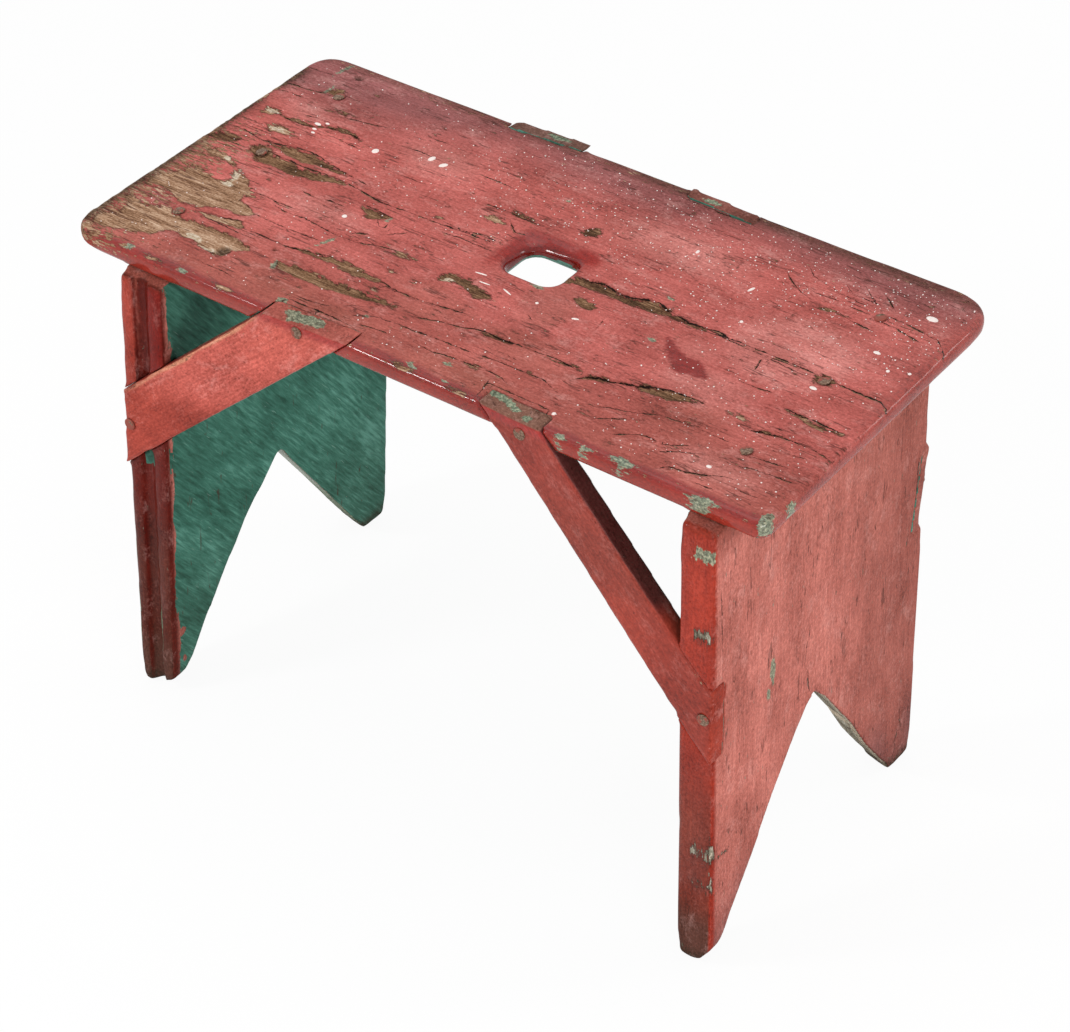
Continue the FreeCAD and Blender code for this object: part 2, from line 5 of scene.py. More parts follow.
import bmesh
import bpy
import numpy as np
from mathutils import Matrix, Vector
from mathutils.bvhtree import BVHTree


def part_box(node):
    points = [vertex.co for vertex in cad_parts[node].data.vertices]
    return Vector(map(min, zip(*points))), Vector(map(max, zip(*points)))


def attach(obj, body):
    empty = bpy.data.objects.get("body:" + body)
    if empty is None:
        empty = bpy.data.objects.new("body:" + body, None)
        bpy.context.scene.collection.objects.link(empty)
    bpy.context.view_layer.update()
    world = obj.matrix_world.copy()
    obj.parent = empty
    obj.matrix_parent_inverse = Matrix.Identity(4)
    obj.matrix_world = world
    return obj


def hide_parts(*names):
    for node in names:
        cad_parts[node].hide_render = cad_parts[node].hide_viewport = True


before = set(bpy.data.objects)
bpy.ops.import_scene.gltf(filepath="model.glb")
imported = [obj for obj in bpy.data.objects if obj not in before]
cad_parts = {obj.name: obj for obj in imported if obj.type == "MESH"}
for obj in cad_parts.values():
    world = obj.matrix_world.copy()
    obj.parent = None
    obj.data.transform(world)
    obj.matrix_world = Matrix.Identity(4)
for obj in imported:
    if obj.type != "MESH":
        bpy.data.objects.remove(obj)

log = logging.getLogger("bucket_bench")

# Sizes and places are in millimetres, counted from the seat's front left corner over the floor.
MM = 0.001
SEAT_LENGTH = 531.0
SEAT_WIDTH = 262.0
SEAT_TOP = 360.0
SEAT_THICKNESS = 13.0
SEAT_CORNER = np.array((265.0, 125.15, 0.0))
BOARD_TOP = SEAT_TOP - SEAT_THICKNESS
LEFT_FACE_TOP = 50.3
LEFT_SPLAY = 15.5
RIGHT_FACE_FOOT = 501.5
RIGHT_SPLAY = 5.9
OUTSIDE = -9.0
FRONT, BACK = -1, 1
BOARD_NODES = (
    "seat_board", "left_end_board", "right_end_board",
    "front_left_brace", "front_right_brace", "back_left_brace", "back_right_brace",
)

Vec = tuple[float, float, float]
Rgb = Vec
Line = tuple[tuple[float, float], ...]


def linear(colour: Rgb) -> tuple[float, float, float, float]:
    """Turn a colour as a screen shows it, 0 to 255, into shader values.

    Args:
        colour: Red, green and blue on the screen.

    Returns:
        The linear colour with full alpha.
    """
    shares = [value / 255 for value in colour]
    red, green, blue = (s / 12.92 if s <= 0.04045 else ((s + 0.055) / 1.055) ** 2.4 for s in shares)
    return red, green, blue, 1.0


def row_place(points: np.ndarray) -> np.ndarray:
    """Turn bench millimetres, counted from the seat's front left corner over the floor, into metres.

    Args:
        points: Places in millimetres, one a row.

    Returns:
        The same places in the frame's metres.
    """
    return (np.asarray(points, float) - SEAT_CORNER) * MM


def bench_place(points: np.ndarray) -> np.ndarray:
    """Turn the frame's metres into bench millimetres.

    Args:
        points: Places in metres, one a row.

    Returns:
        The same places in millimetres.
    """
    return np.asarray(points, float) / MM + SEAT_CORNER


def placed(name: str, data: bpy.types.ID) -> bpy.types.Object:
    """Make an object and link it into the scene.

    Args:
        name: The object's name.
        data: Its mesh, light or camera.

    Returns:
        The object, at the origin.
    """
    thing = bpy.data.objects.new(name, data)
    bpy.context.scene.collection.objects.link(thing)
    return thing


def ease(value: np.ndarray, low: float, high: float) -> np.ndarray:
    """Step smoothly from 0 at low to 1 at high.

    Args:
        value: What is compared.
        low: Where the step begins.
        high: Where the step ends; it may lie below low.

    Returns:
        Shares from 0 to 1.
    """
    share = np.clip((value - low) / (high - low), 0, 1)
    return share * share * (3 - 2 * share)


class Hills:
    """Smooth random hills over space, the same on every run."""

    TABLE_SIZE = 8192
    CELL_MIXERS = (73856093, 19349663, 83492791)

    def __init__(self, seed: int) -> None:
        """Fill the table of random heights.

        Args:
            seed: Which hills.
        """
        self.heights = np.random.default_rng(seed).uniform(-1, 1, self.TABLE_SIZE)

    def at(self, points: np.ndarray, span: Vec) -> np.ndarray:
        """Measure the hills.

        Args:
            points: Where, one place a row.
            span: How far apart hills are in each direction, in the unit of the points.

        Returns:
            Heights from -1 to 1.
        """
        place = points / np.asarray(span, float)
        cell = np.floor(place).astype(np.int64)
        share = place - cell
        share = share * share * (3 - 2 * share)
        total = np.zeros(len(points))
        mix_x, mix_y, mix_z = self.CELL_MIXERS
        for corner in range(8):
            step = np.array((corner & 1, corner >> 1 & 1, corner >> 2 & 1))
            weight = np.prod(np.where(step, share, 1 - share), axis=1)
            at = cell + step
            mixed = at[:, 0] * mix_x ^ at[:, 1] * mix_y ^ at[:, 2] * mix_z
            total += weight * self.heights[np.abs(mixed) % self.TABLE_SIZE]
        return total

    def share(self, points: np.ndarray, span: Vec) -> np.ndarray:
        """Return the hills' heights as shares from 0 to 1."""
        return np.clip(self.at(points, span) * 0.5 + 0.5, 0, 1)

    def waves(self, points: np.ndarray, broad: Vec, fine: Vec) -> np.ndarray:
        """Return broad hills that carry fine ones of half their height."""
        return self.at(points, broad) + 0.5 * self.at(points, fine)

    def warp(self, flat: np.ndarray, span: float, reach: float) -> np.ndarray:
        """Shift places in a plane to and fro, so that straight outlines wander.

        Args:
            flat: Places in the plane, one a row.
            span: How far apart the shifts change.
            reach: The longest shift.

        Returns:
            The shifted places.
        """
        first = np.column_stack((flat, np.full(len(flat), 3.7 * span)))
        second = np.column_stack((flat, np.full(len(flat), 9.2 * span)))
        spans = (span, span, span)
        return flat + reach * np.column_stack((self.at(first, spans), self.at(second, spans)))


def line_offset(points: np.ndarray, line: Line) -> tuple[np.ndarray, np.ndarray]:
    """Measure how far points in a plane lie from a bent line.

    Args:
        points: Places in the plane, one a row.
        line: The line's corners.

    Returns:
        The distance, below 0 on the right of the line, and the place along it from 0 to 1.
    """
    corners = np.asarray(line, float)
    steps = np.linalg.norm(np.diff(corners, axis=0), axis=1)
    gone = np.concatenate(((0.0,), np.cumsum(steps)))
    best = np.full(len(points), 1e9)
    signed = np.zeros(len(points))
    along = np.zeros(len(points))
    for index, step in enumerate(steps):
        run = (corners[index + 1] - corners[index]) / step
        to_point = points - corners[index]
        share = np.clip(to_point @ run, 0, step)
        distance = np.linalg.norm(to_point - share[:, None] * run, axis=1)
        side = np.where(run[0] * to_point[:, 1] < run[1] * to_point[:, 0], -1, 1)
        nearer = distance < best
        best = np.where(nearer, distance, best)
        signed = np.where(nearer, distance * side, signed)
        along = np.where(nearer, (gone[index] + share) / gone[-1], along)
    return signed, along


@dataclass(frozen=True)
class Patch:
    """A place outlined in a face's two directions, in millimetres, and how deep the wood is gone."""

    outline: Line
    depth: float = 0.5

    def reach(self, points: np.ndarray) -> np.ndarray:
        """Measure how deep points lie inside the outline.

        Args:
            points: Places in the plane, one a row.

        Returns:
            Millimetres to the outline, above 0 inside.
        """
        closed = self.outline + self.outline[:1]
        distance = np.abs(line_offset(points, closed)[0])
        inside = np.zeros(len(points), bool)
        for start, end in zip(closed[:-1], closed[1:]):
            rise = end[1] - start[1]
            if rise:
                crosses = (start[1] > points[:, 1]) != (end[1] > points[:, 1])
                at = start[0] + (points[:, 1] - start[1]) * (end[0] - start[0]) / rise
                inside ^= crosses & (points[:, 0] < at)
        return np.where(inside, distance, -distance)


@dataclass(frozen=True)
class Spot:
    """A round or long spot, with its half lengths in millimetres and its turn in degrees."""

    place: tuple[float, float]
    half: tuple[float, float]
    turn: float = 0.0

    def reach(self, points: np.ndarray) -> np.ndarray:
        """Measure how deep points lie inside the spot.

        Args:
            points: Places in the plane, one a row.

        Returns:
            Millimetres to the rim, above 0 inside.
        """
        angle = math.radians(self.turn)
        away = points - np.asarray(self.place)
        along = away @ np.array((math.cos(angle), math.sin(angle)))
        across = away @ np.array((-math.sin(angle), math.cos(angle)))
        return (1 - np.hypot(along / self.half[0], across / self.half[1])) * min(self.half)


@dataclass(frozen=True)
class Split:
    """A crack along a bent line and how wide it gapes, in millimetres."""

    line: Line
    width: float = 0.8


def deepest(points: np.ndarray, shapes: tuple[Patch | Spot, ...]) -> np.ndarray:
    """Measure how deep each point is in the nearest of some shapes.

    Args:
        points: Places in the plane, one a row.
        shapes: Patches and spots.

    Returns:
        Millimetres, above 0 inside and no lower than OUTSIDE elsewhere.
    """
    reach = np.full(len(points), OUTSIDE)
    for shape in shapes:
        reach = np.maximum(reach, shape.reach(points))
    return reach


class Tint:
    """Base colours laid over each other, vertex by vertex."""

    def __init__(self, count: int, colour: Rgb) -> None:
        """Start from one colour.

        Args:
            count: How many vertices.
            colour: The colour as a screen shows it.
        """
        self.rows = np.tile(np.array(linear(colour)), (count, 1))

    def lay(self, colour: Rgb, share: np.ndarray) -> None:
        """Lay a colour over the others.

        Args:
            colour: The colour as a screen shows it.
            share: How much of it each vertex takes.
        """
        self.rows += np.clip(share, 0, 1)[:, None] * (np.array(linear(colour)) - self.rows)


class Surface:
    """A wooden piece's fine mesh while it is worn down in code."""

    WELD_METRES = 1e-6
    CONTACT = 0.7
    FREE_FROM = 4.0
    NO_SPLIT = 6.0
    SPLIT_REACH = 5.0
    MARKS = ("bare", "green", "old_paint", "filler")
    AMOUNTS = ("split_width", "gouge", "gloss", "dirt_and_shade", "wear")

    def __init__(self, node: str, cell: float, colour: Rgb) -> None:
        """Copy a CAD node's shape into an even, fine mesh.

        Args:
            node: The CAD node.
            cell: The mesh's cell in millimetres.
            colour: The plain colour of its top coat.
        """
        self.node = node
        self.mesh = self._fine_mesh(cell)
        self.count = len(self.mesh.vertices)
        self.start = self._read()
        self.place = self.start.copy()
        flat = np.zeros(self.count * 3, np.float32)
        self.mesh.vertex_normals.foreach_get("vector", flat)
        self.normal = flat.reshape(-1, 3).astype(float)
        self.free = self._freedom()
        self.tint = Tint(self.count, colour)
        fresh = {**dict.fromkeys(self.MARKS, OUTSIDE), "split": self.NO_SPLIT}
        fresh.update(dict.fromkeys(self.AMOUNTS, 0.0))
        self.fields = {name: np.full(self.count, value) for name, value in fresh.items()}

    def _fine_mesh(self, cell: float) -> bpy.types.Mesh:
        """Remesh the node's shape evenly.

        Args:
            cell: The mesh's cell in millimetres.

        Returns:
            The fine mesh.
        """
        mesh = bpy.data.meshes.new(self.node + "_solid")
        shape = bmesh.new()
        shape.from_mesh(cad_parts[self.node].data)
        bmesh.ops.remove_doubles(shape, verts=shape.verts, dist=self.WELD_METRES)
        shape.to_mesh(mesh)
        shape.free()
        rough = placed(self.node + "_solid", mesh)
        remesh = rough.modifiers.new("even_cells", "REMESH")
        remesh.mode = "VOXEL"
        remesh.voxel_size = cell * MM
        bpy.context.view_layer.update()
        evaluated = rough.evaluated_get(bpy.context.evaluated_depsgraph_get())
        fine = bpy.data.meshes.new_from_object(evaluated)
        fine.name = self.node + "_wood"
        bpy.data.objects.remove(rough)
        bpy.data.meshes.remove(mesh)
        fine.materials.clear()
        return fine

    def _read(self) -> np.ndarray:
        """Read where the vertices are.

        Returns:
            Their places in bench millimetres.
        """
        flat = np.zeros(self.count * 3, np.float32)
        self.mesh.vertices.foreach_get("co", flat)
        return bench_place(flat.reshape(-1, 3))

    def _freedom(self) -> np.ndarray:
        """Find where the surface may move, away from the other boards.

        Returns:
            0 where another board touches this one, and 1 from a few millimetres away.
        """
        corners, faces = [], []
        for node in BOARD_NODES:
            if node != self.node:
                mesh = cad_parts[node].data
                faces += [[index + len(corners) for index in face.vertices] for face in mesh.polygons]
                corners += [vertex.co for vertex in mesh.vertices]
        others = BVHTree.FromPolygons(corners, faces)
        away = np.full(self.count, self.FREE_FROM)
        for index, vertex in enumerate(self.mesh.vertices):
            distance = others.find_nearest(vertex.co, self.FREE_FROM * MM)[3]
            if distance is not None:
                away[index] = distance / MM
        return ease(away, self.CONTACT, self.FREE_FROM)

    def push(self, amount: np.ndarray) -> None:
        """Move the free surface out along its first normals by millimetres."""
        self.place += self.normal * (amount * self.free)[:, None]

    def soften(self, share: np.ndarray, rounds: int) -> None:
        """Round the surface by moving each vertex towards the middle of its neighbours.

        Args:
            share: How much each vertex takes part, from 0 to 1.
            rounds: How many times.
        """
        ends = np.zeros(len(self.mesh.edges) * 2, np.int32)
        self.mesh.edges.foreach_get("vertices", ends)
        first, second = ends.reshape(-1, 2).T
        degree = np.bincount(ends, minlength=self.count)
        weight = (0.5 * share * self.free)[:, None]
        for _ in range(rounds):
            around = np.column_stack([
                np.bincount(first, self.place[second, axis], self.count)
                + np.bincount(second, self.place[first, axis], self.count)
                for axis in range(3)
            ])
            self.place += weight * (around / degree[:, None] - self.place)

    def mark_splits(self, flat: np.ndarray, splits: tuple[Split, ...], facing: np.ndarray) -> None:
        """Write the distance to the nearest crack and its width.

        Args:
            flat: The vertices in the cracks' plane.
            splits: The cracks.
            facing: Which vertices lie on the cracked face, as shares.
        """
        offset, width = self.fields["split"], self.fields["split_width"]
        for split in splits:
            signed, along = line_offset(flat, split.line)
            taper = np.clip(np.minimum(along, 1 - along) * 7 + 0.3, 0, 1)
            closer = np.abs(signed) < np.abs(offset)
            width = np.where(closer & (np.abs(signed) < self.SPLIT_REACH), split.width * taper, width)
            offset = np.where(closer, signed, offset)
        self.fields["split"] = offset
        self.fields["split_width"] = width * facing

    def finish(self, grain: np.ndarray) -> bpy.types.Object:
        """Write the worn shape and its fields, and make the object.

        Args:
            grain: Rows of the along, across and out directions of the wood's grain.

        Returns:
            The piece, at the origin, with its place in its mesh.
        """
        low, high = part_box(self.node)
        self.place = np.clip(self.place, bench_place(low), bench_place(high))
        self.mesh.vertices.foreach_set("co", row_place(self.place).astype(np.float32).ravel())
        grain_place = self.mesh.attributes.new("grain_place", "FLOAT_VECTOR", "POINT")
        grain_place.data.foreach_set("vector", (self.start @ grain.T).astype(np.float32).ravel())
        coat = self.mesh.attributes.new("coat_tint", "FLOAT_COLOR", "POINT")
        coat.data.foreach_set("color", self.tint.rows.astype(np.float32).ravel())
        for name, values in self.fields.items():
            attribute = self.mesh.attributes.new(name, "FLOAT", "POINT")
            attribute.data.foreach_set("value", values.astype(np.float32))
        self.mesh.polygons.foreach_set("use_smooth", np.ones(len(self.mesh.polygons), bool))
        self.mesh.update()
        piece = placed(self.node + "_worn", self.mesh)
        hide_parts(self.node)
        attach(piece, "root")
        return piece


@dataclass(frozen=True)
class Socket:
    """One input or output of a node group."""

    name: str
    kind: str = "NodeSocketFloat"


class Wiring:
    """Writes nodes and links into one node tree."""

    def __init__(self, tree: bpy.types.NodeTree) -> None:
        """Start on a tree.

        Args:
            tree: A material's, a world's or a group's tree.
        """
        self.tree = tree

    def add(self, kind: str, inputs: dict | None = None, **settings: object) -> bpy.types.Node:
        """Add a node.

        Args:
            kind: The node's type.
            inputs: Values or sockets for its inputs, by name or number.
            settings: Values for its own properties.

        Returns:
            The node.
        """
        node = self.tree.nodes.new(kind)
        for name, value in settings.items():
            setattr(node, name, value)
        for key, value in (inputs or {}).items():
            self.feed(node.inputs[key], value)
        return node

    def feed(self, socket: bpy.types.NodeSocket, value: object) -> None:
        """Link a socket into another, or set its value.

        Args:
            socket: The input.
            value: A socket that feeds it, or its value.
        """
        if isinstance(value, bpy.types.NodeSocket):
            self.tree.links.new(value, socket)
        else:
            socket.default_value = value

    def use(self, shared: bpy.types.NodeTree, inputs: dict) -> bpy.types.Node:
        """Return a node of a shared group, with values or sockets fed to its named inputs."""
        return self.add("ShaderNodeGroup", inputs, node_tree=shared)

    def math(self, operation: str, first: object, second: object = 0.0) -> bpy.types.NodeSocket:
        """Return the result of a Math node on sockets or numbers."""
        return self.add("ShaderNodeMath", {0: first, 1: second}, operation=operation).outputs[0]

    def sum(self, *terms: tuple[object, float]) -> bpy.types.NodeSocket:
        """Add sockets up, each with its weight.

        Args:
            terms: The sockets and their weights.

        Returns:
            The sum's socket.
        """
        total = None
        for value, weight in terms:
            term = self.math("MULTIPLY", value, weight)
            total = term if total is None else self.math("ADD", total, term)
        return total

    def step(
        self, value: object, low: float, high: float, at_low: float = 0.0, at_high: float = 1.0
    ) -> bpy.types.NodeSocket:
        """Return a smooth step of a value between two limits.

        Args:
            value: What is compared.
            low: The lower limit.
            high: The upper limit.
            at_low: The result at and below the lower limit.
            at_high: The result at and above the upper limit.

        Returns:
            The result's socket.
        """
        limits = {0: value, 1: low, 2: high, 3: at_low, 4: at_high}
        return self.add("ShaderNodeMapRange", limits, interpolation_type="SMOOTHSTEP").outputs[0]

    def mix(self, share: object, first: object, second: object, blend: str = "MIX") -> bpy.types.NodeSocket:
        """Return two colours mixed by a share."""
        inputs = {0: share, 6: first, 7: second}
        return self.add("ShaderNodeMix", inputs, data_type="RGBA", blend_type=blend).outputs[2]

    def cover(self, under: object, mask: object, weight: float, colour: Rgb) -> bpy.types.NodeSocket:
        """Return a colour with another laid over it where a mask says, by a weight."""
        return self.mix(self.math("MULTIPLY", mask, weight), under, linear(colour))

    def blend(self, share: object, first: object, second: object) -> bpy.types.NodeSocket:
        """Return two numbers mixed by a share."""
        return self.add("ShaderNodeMix", {0: share, 2: first, 3: second}, data_type="FLOAT").outputs[0]

    def scaled(self, vector: object, scale: Vec, shift: Vec = (0, 0, 0)) -> bpy.types.NodeSocket:
        """Return a vector scaled and then shifted."""
        inputs = {0: vector, 1: scale, 2: shift}
        return self.add("ShaderNodeVectorMath", inputs, operation="MULTIPLY_ADD").outputs[0]

    def noise(
        self, vector: object, detail: float = 3.0, roughness: float = 0.55, twist: float = 0.0
    ) -> bpy.types.NodeSocket:
        """Return the strength of a noise texture at a scale of 1."""
        tuning = {"Detail": detail, "Roughness": roughness, "Distortion": twist}
        return self.add("ShaderNodeTexNoise", {"Vector": vector, "Scale": 1.0, **tuning}).outputs[0]

    def ramp(self, value: object, *stops: tuple[float, Rgb]) -> bpy.types.NodeSocket:
        """Return a colour from a ramp.

        Args:
            value: What picks the colour, from 0 to 1.
            stops: Places on the ramp and their colours as a screen shows them.

        Returns:
            The colour's socket.
        """
        node = self.add("ShaderNodeValToRGB", {0: value})
        elements = node.color_ramp.elements
        while len(elements) < len(stops):
            elements.new(0.5)
        for element, (place, colour) in zip(elements, stops):
            element.position = place
            element.color = linear(colour)
        return node.outputs[0]

    def carried(self, name: str) -> bpy.types.NodeSocket:
        """Return a number that the mesh carries."""
        return self.add("ShaderNodeAttribute", None, attribute_name=name).outputs["Fac"]


def blank_material(name: str) -> tuple[bpy.types.Material, Wiring]:
    """Make a material without nodes.

    Args:
        name: The material's name.

    Returns:
        The material and its wiring.
    """
    material = bpy.data.materials.new(name)
    material.use_nodes = True
    material.node_tree.nodes.clear()
    return material, Wiring(material.node_tree)


def group(
    name: str, inputs: tuple[Socket, ...], outputs: tuple[Socket, ...]
) -> tuple[Wiring, bpy.types.Node, bpy.types.Node]:
    """Make an empty shader node group.

    Args:
        name: The group's name.
        inputs: Its inputs.
        outputs: Its outputs.

    Returns:
        Its wiring, its input node and its output node.
    """
    tree = bpy.data.node_groups.new(name, "ShaderNodeTree")
    for side, sockets in (("INPUT", inputs), ("OUTPUT", outputs)):
        for socket in sockets:
            tree.interface.new_socket(socket.name, in_out=side, socket_type=socket.kind)
    wiring = Wiring(tree)
    return wiring, wiring.add("NodeGroupInput"), wiring.add("NodeGroupOutput")


PLACE = Socket("Place", "NodeSocketVector")
COLOUR = Socket("Colour", "NodeSocketColor")


class FinishGroups:
    """The node groups that several finishes share, built once; places are in millimetres."""

    def __init__(self) -> None:
        """Build every group."""
        self.wood = self._weathered_wood()
        self.ragged = self._ragged_edge()
        self.chips = self._small_chips()
        self.crack = self._crack_line()
        self.hairlines = self._hairlines()
        self.coat = self._aged_coat()
        self.strokes = self._green_strokes()

    def edge(self, tree: Wiring, place: bpy.types.NodeSocket, mark: str, raggedness: float) -> bpy.types.Node:
        """Return the ragged edge of a mark that the mesh carries, placed in a material's tree."""
        inputs = {"Place": place, "Field": tree.carried(mark), "Raggedness": raggedness}
        return tree.use(self.ragged, inputs)

    def _weathered_wood(self) -> bpy.types.NodeTree:
        """Bare, weathered wood: fine streaks, dark pores, stains and pale fibres.

        Returns:
            The group's tree.
        """
        tree, given, result = group(
            "weathered_wood", (PLACE, Socket("Grey"), Socket("Depth")), (COLOUR, Socket("Height"))
        )
        place = given.outputs["Place"]
        streaks = tree.noise(tree.scaled(place, (0.06, 1.1, 1.1)), 5.0, 0.7, 0.4)
        broad = tree.noise(tree.scaled(place, (0.035, 0.16, 0.16), (7, 3, 1)), 3.0, 0.6)
        grit = tree.noise(tree.scaled(place, (0.5, 0.8, 0.8), (3, 8, 5)), 4.0, 0.75)
        tone = tree.sum((streaks, 0.42), (broad, 0.3), (grit, 0.32))
        warm = tree.ramp(
            tone, (0.40, (74, 50, 35)), (0.46, (112, 80, 58)), (0.51, (150, 114, 88)),
            (0.56, (176, 141, 114)), (0.64, (212, 184, 160)),
        )
        dark = tree.ramp(
            tone, (0.40, (48, 33, 24)), (0.48, (88, 63, 45)), (0.53, (120, 88, 64)),
            (0.60, (158, 122, 94)), (0.68, (190, 158, 130)),
        )
        grey = tree.ramp(
            tone, (0.40, (46, 44, 40)), (0.48, (92, 94, 84)), (0.53, (128, 132, 118)), (0.62, (184, 186, 174))
        )
        colour = tree.mix(given.outputs["Depth"], warm, dark)
        tree.feed(result.inputs["Colour"], tree.mix(given.outputs["Grey"], colour, grey))
        tree.feed(result.inputs["Height"], tree.sum((streaks, 0.6), (grit, 0.4)))
        return tree.tree

    def _ragged_edge(self) -> bpy.types.NodeTree:
        """A ragged edge around a field in millimetres, with a band inside where a painted shadow goes and a
        lip outside.

        Returns:
            The group's tree.
        """
        tree, given, result = group(
            "ragged_edge",
            (PLACE, Socket("Field"), Socket("Raggedness")),
            (Socket("Mask"), Socket("Shadow Rim"), Socket("Lip")),
        )
        place = given.outputs["Place"]
        fine = tree.noise(tree.scaled(place, (0.13, 0.42, 0.42)), 6.0, 0.7)
        shift = tree.math("MULTIPLY", tree.math("SUBTRACT", fine, 0.5), given.outputs["Raggedness"])
        reach = tree.math("ADD", given.outputs["Field"], shift)
        mask = tree.step(reach, -0.1, 0.1)
        tree.feed(result.inputs["Mask"], mask)
        tree.feed(result.inputs["Shadow Rim"], tree.math("MULTIPLY", mask, tree.step(reach, 0.1, 0.9, 1.0, 0.0)))
        outside = tree.math("SUBTRACT", 1.0, mask)
        tree.feed(result.inputs["Lip"], tree.math("MULTIPLY", outside, tree.step(reach, -1.3, -0.1)))
        return tree.tree

    def _small_chips(self) -> bpy.types.NodeTree:
        """Small chips scattered along the grain, more of them where the amount is high.

        Returns:
            The group's tree.
        """
        tree, given, result = group("small_chips", (PLACE, Socket("Amount")), (Socket("Mask"),))
        flecks = tree.noise(tree.scaled(given.outputs["Place"], (0.14, 0.5, 0.5), (11, 5, 2)), 4.0, 0.65)
        limit = tree.math("SUBTRACT", 0.76, tree.math("MULTIPLY", given.outputs["Amount"], 0.34))
        over = tree.math("SUBTRACT", flecks, limit)
        tree.feed(result.inputs["Mask"], tree.step(over, -0.005, 0.012))
        return tree.tree

    def _crack_line(self) -> bpy.types.NodeTree:
        """A dark crack where a signed distance passes through nought, with bare wood along one lip.

        Returns:
            The group's tree.
        """
        tree, given, result = group(
            "crack_line",
            (PLACE, Socket("Offset"), Socket("Width")),
            (Socket("Mask"), Socket("Shade"), Socket("Lip")),
        )
        place = given.outputs["Place"]
        wander = tree.noise(tree.scaled(place, (0.34, 0.4, 0.4)), 5.0, 0.68)
        drift = tree.math("MULTIPLY", tree.math("SUBTRACT", wander, 0.5), 3.0)
        offset = tree.math("ADD", given.outputs["Offset"], drift)
        thin = tree.noise(tree.scaled(place, (0.12, 0.12, 0.12), (4, 9, 2)), 3.0)
        half = tree.math("MULTIPLY", given.outputs["Width"], tree.step(thin, 0.36, 0.64, 0.05, 0.46))
        wide = tree.math("MAXIMUM", half, 0.02)
        share = tree.math("DIVIDE", tree.math("ABSOLUTE", offset), wide)
        tree.feed(result.inputs["Mask"], tree.step(share, 0.6, 1.25, 1.0, 0.0))
        tree.feed(result.inputs["Shade"], tree.step(share, 1.0, 4.0, 1.0, 0.0))
        below = tree.step(tree.math("DIVIDE", offset, wide), -3.2, -1.4)
        above = tree.step(tree.math("DIVIDE", offset, wide), -0.9, -0.5, 1.0, 0.0)
        gaping = tree.step(half, 0.2, 0.5)
        tree.feed(result.inputs["Lip"], tree.math("MULTIPLY", tree.math("MULTIPLY", below, above), gaping))
        return tree.tree

    def _hairlines(self) -> bpy.types.NodeTree:
        """Hair-thin cracks that follow the grain in short runs.

        Returns:
            The group's tree.
        """
        tree, given, result = group("hairlines", (PLACE, Socket("Amount")), (Socket("Mask"),))
        place = given.outputs["Place"]
        runs = tree.noise(tree.scaled(place, (0.02, 0.24, 0.24), (5, 5, 5)), 3.0, 0.5, 0.5)
        near = tree.math("ABSOLUTE", tree.math("SUBTRACT", runs, 0.5))
        line = tree.step(near, 0.0, 0.036, 1.0, 0.0)
        where = tree.noise(tree.scaled(place, (0.035, 0.12, 0.12), (1, 7, 9)), 3.0, 0.6)
        limit = tree.math("SUBTRACT", 0.74, tree.math("MULTIPLY", given.outputs["Amount"], 0.3))
        over = tree.math("SUBTRACT", where, limit)
        tree.feed(result.inputs["Mask"], tree.math("MULTIPLY", line, tree.step(over, 0.0, 0.05)))
        return tree.tree

    def _aged_coat(self) -> bpy.types.NodeTree:
        """Tones of an old brushed coat: clouds, brush marks, fine mottling, pits, and pale bloom that is
        partly painted sheen.

        Returns:
            The group's tree.
        """
        outputs = tuple(Socket(name) for name in ("Cloud", "Brush", "Mottle", "Pits", "Bloom And Sheen"))
        tree, given, result = group("aged_coat", (PLACE,), outputs)
        place = given.outputs["Place"]
        tree.feed(result.inputs["Cloud"], tree.noise(tree.scaled(place, (0.018, 0.03, 0.03)), 5.0, 0.62))
        brush = tree.noise(tree.scaled(place, (0.03, 0.62, 0.62), (2, 6, 8)), 5.0, 0.65)
        tree.feed(result.inputs["Brush"], brush)
        mottle = tree.noise(tree.scaled(place, (0.42, 0.6, 0.6), (9, 1, 5)), 5.0, 0.72)
        tree.feed(result.inputs["Mottle"], mottle)
        grit = tree.noise(tree.scaled(place, (0.34, 0.95, 0.95), (3, 2, 7)), 3.0, 0.6)
        tree.feed(result.inputs["Pits"], tree.step(grit, 0.655, 0.72))
        bloom_and_sheen = tree.noise(tree.scaled(place, (0.05, 0.09, 0.09), (6, 6, 1)), 6.0, 0.72)
        tree.feed(result.inputs["Bloom And Sheen"], tree.step(tree.sum((bloom_and_sheen, 0.7), (mottle, 0.3)), 0.5, 0.68))
        return tree.tree

    def _green_strokes(self) -> bpy.types.NodeTree:
        """Slanting brush strokes of the older green coat.

        Returns:
            The group's tree.
        """
        tree, given, result = group("green_strokes", (PLACE,), (COLOUR, Socket("Height")))
        slant = {"Vector": given.outputs["Place"], "Angle": math.radians(38)}
        turned = tree.add("ShaderNodeVectorRotate", slant, rotation_type="Z_AXIS").outputs[0]
        stroke = tree.noise(tree.scaled(turned, (0.035, 0.42, 0.42)), 5.0, 0.66, 0.3)
        cloud = tree.noise(tree.scaled(turned, (0.012, 0.02, 0.02), (3, 3, 3)), 4.0, 0.6)
        tone = tree.sum((stroke, 0.55), (cloud, 0.45))
        colour = tree.ramp(
            tone, (0.38, (40, 78, 65)), (0.47, (56, 103, 88)), (0.54, (69, 120, 104)), (0.64, (98, 152, 136))
        )
        scratch = tree.noise(tree.scaled(turned, (0.02, 0.9, 0.9), (8, 4, 2)), 2.0, 0.5)
        colour = tree.cover(colour, tree.step(scratch, 0.7, 0.75), 0.5, (140, 170, 158))
        tree.feed(result.inputs["Colour"], colour)
        tree.feed(result.inputs["Height"], stroke)
        return tree.tree


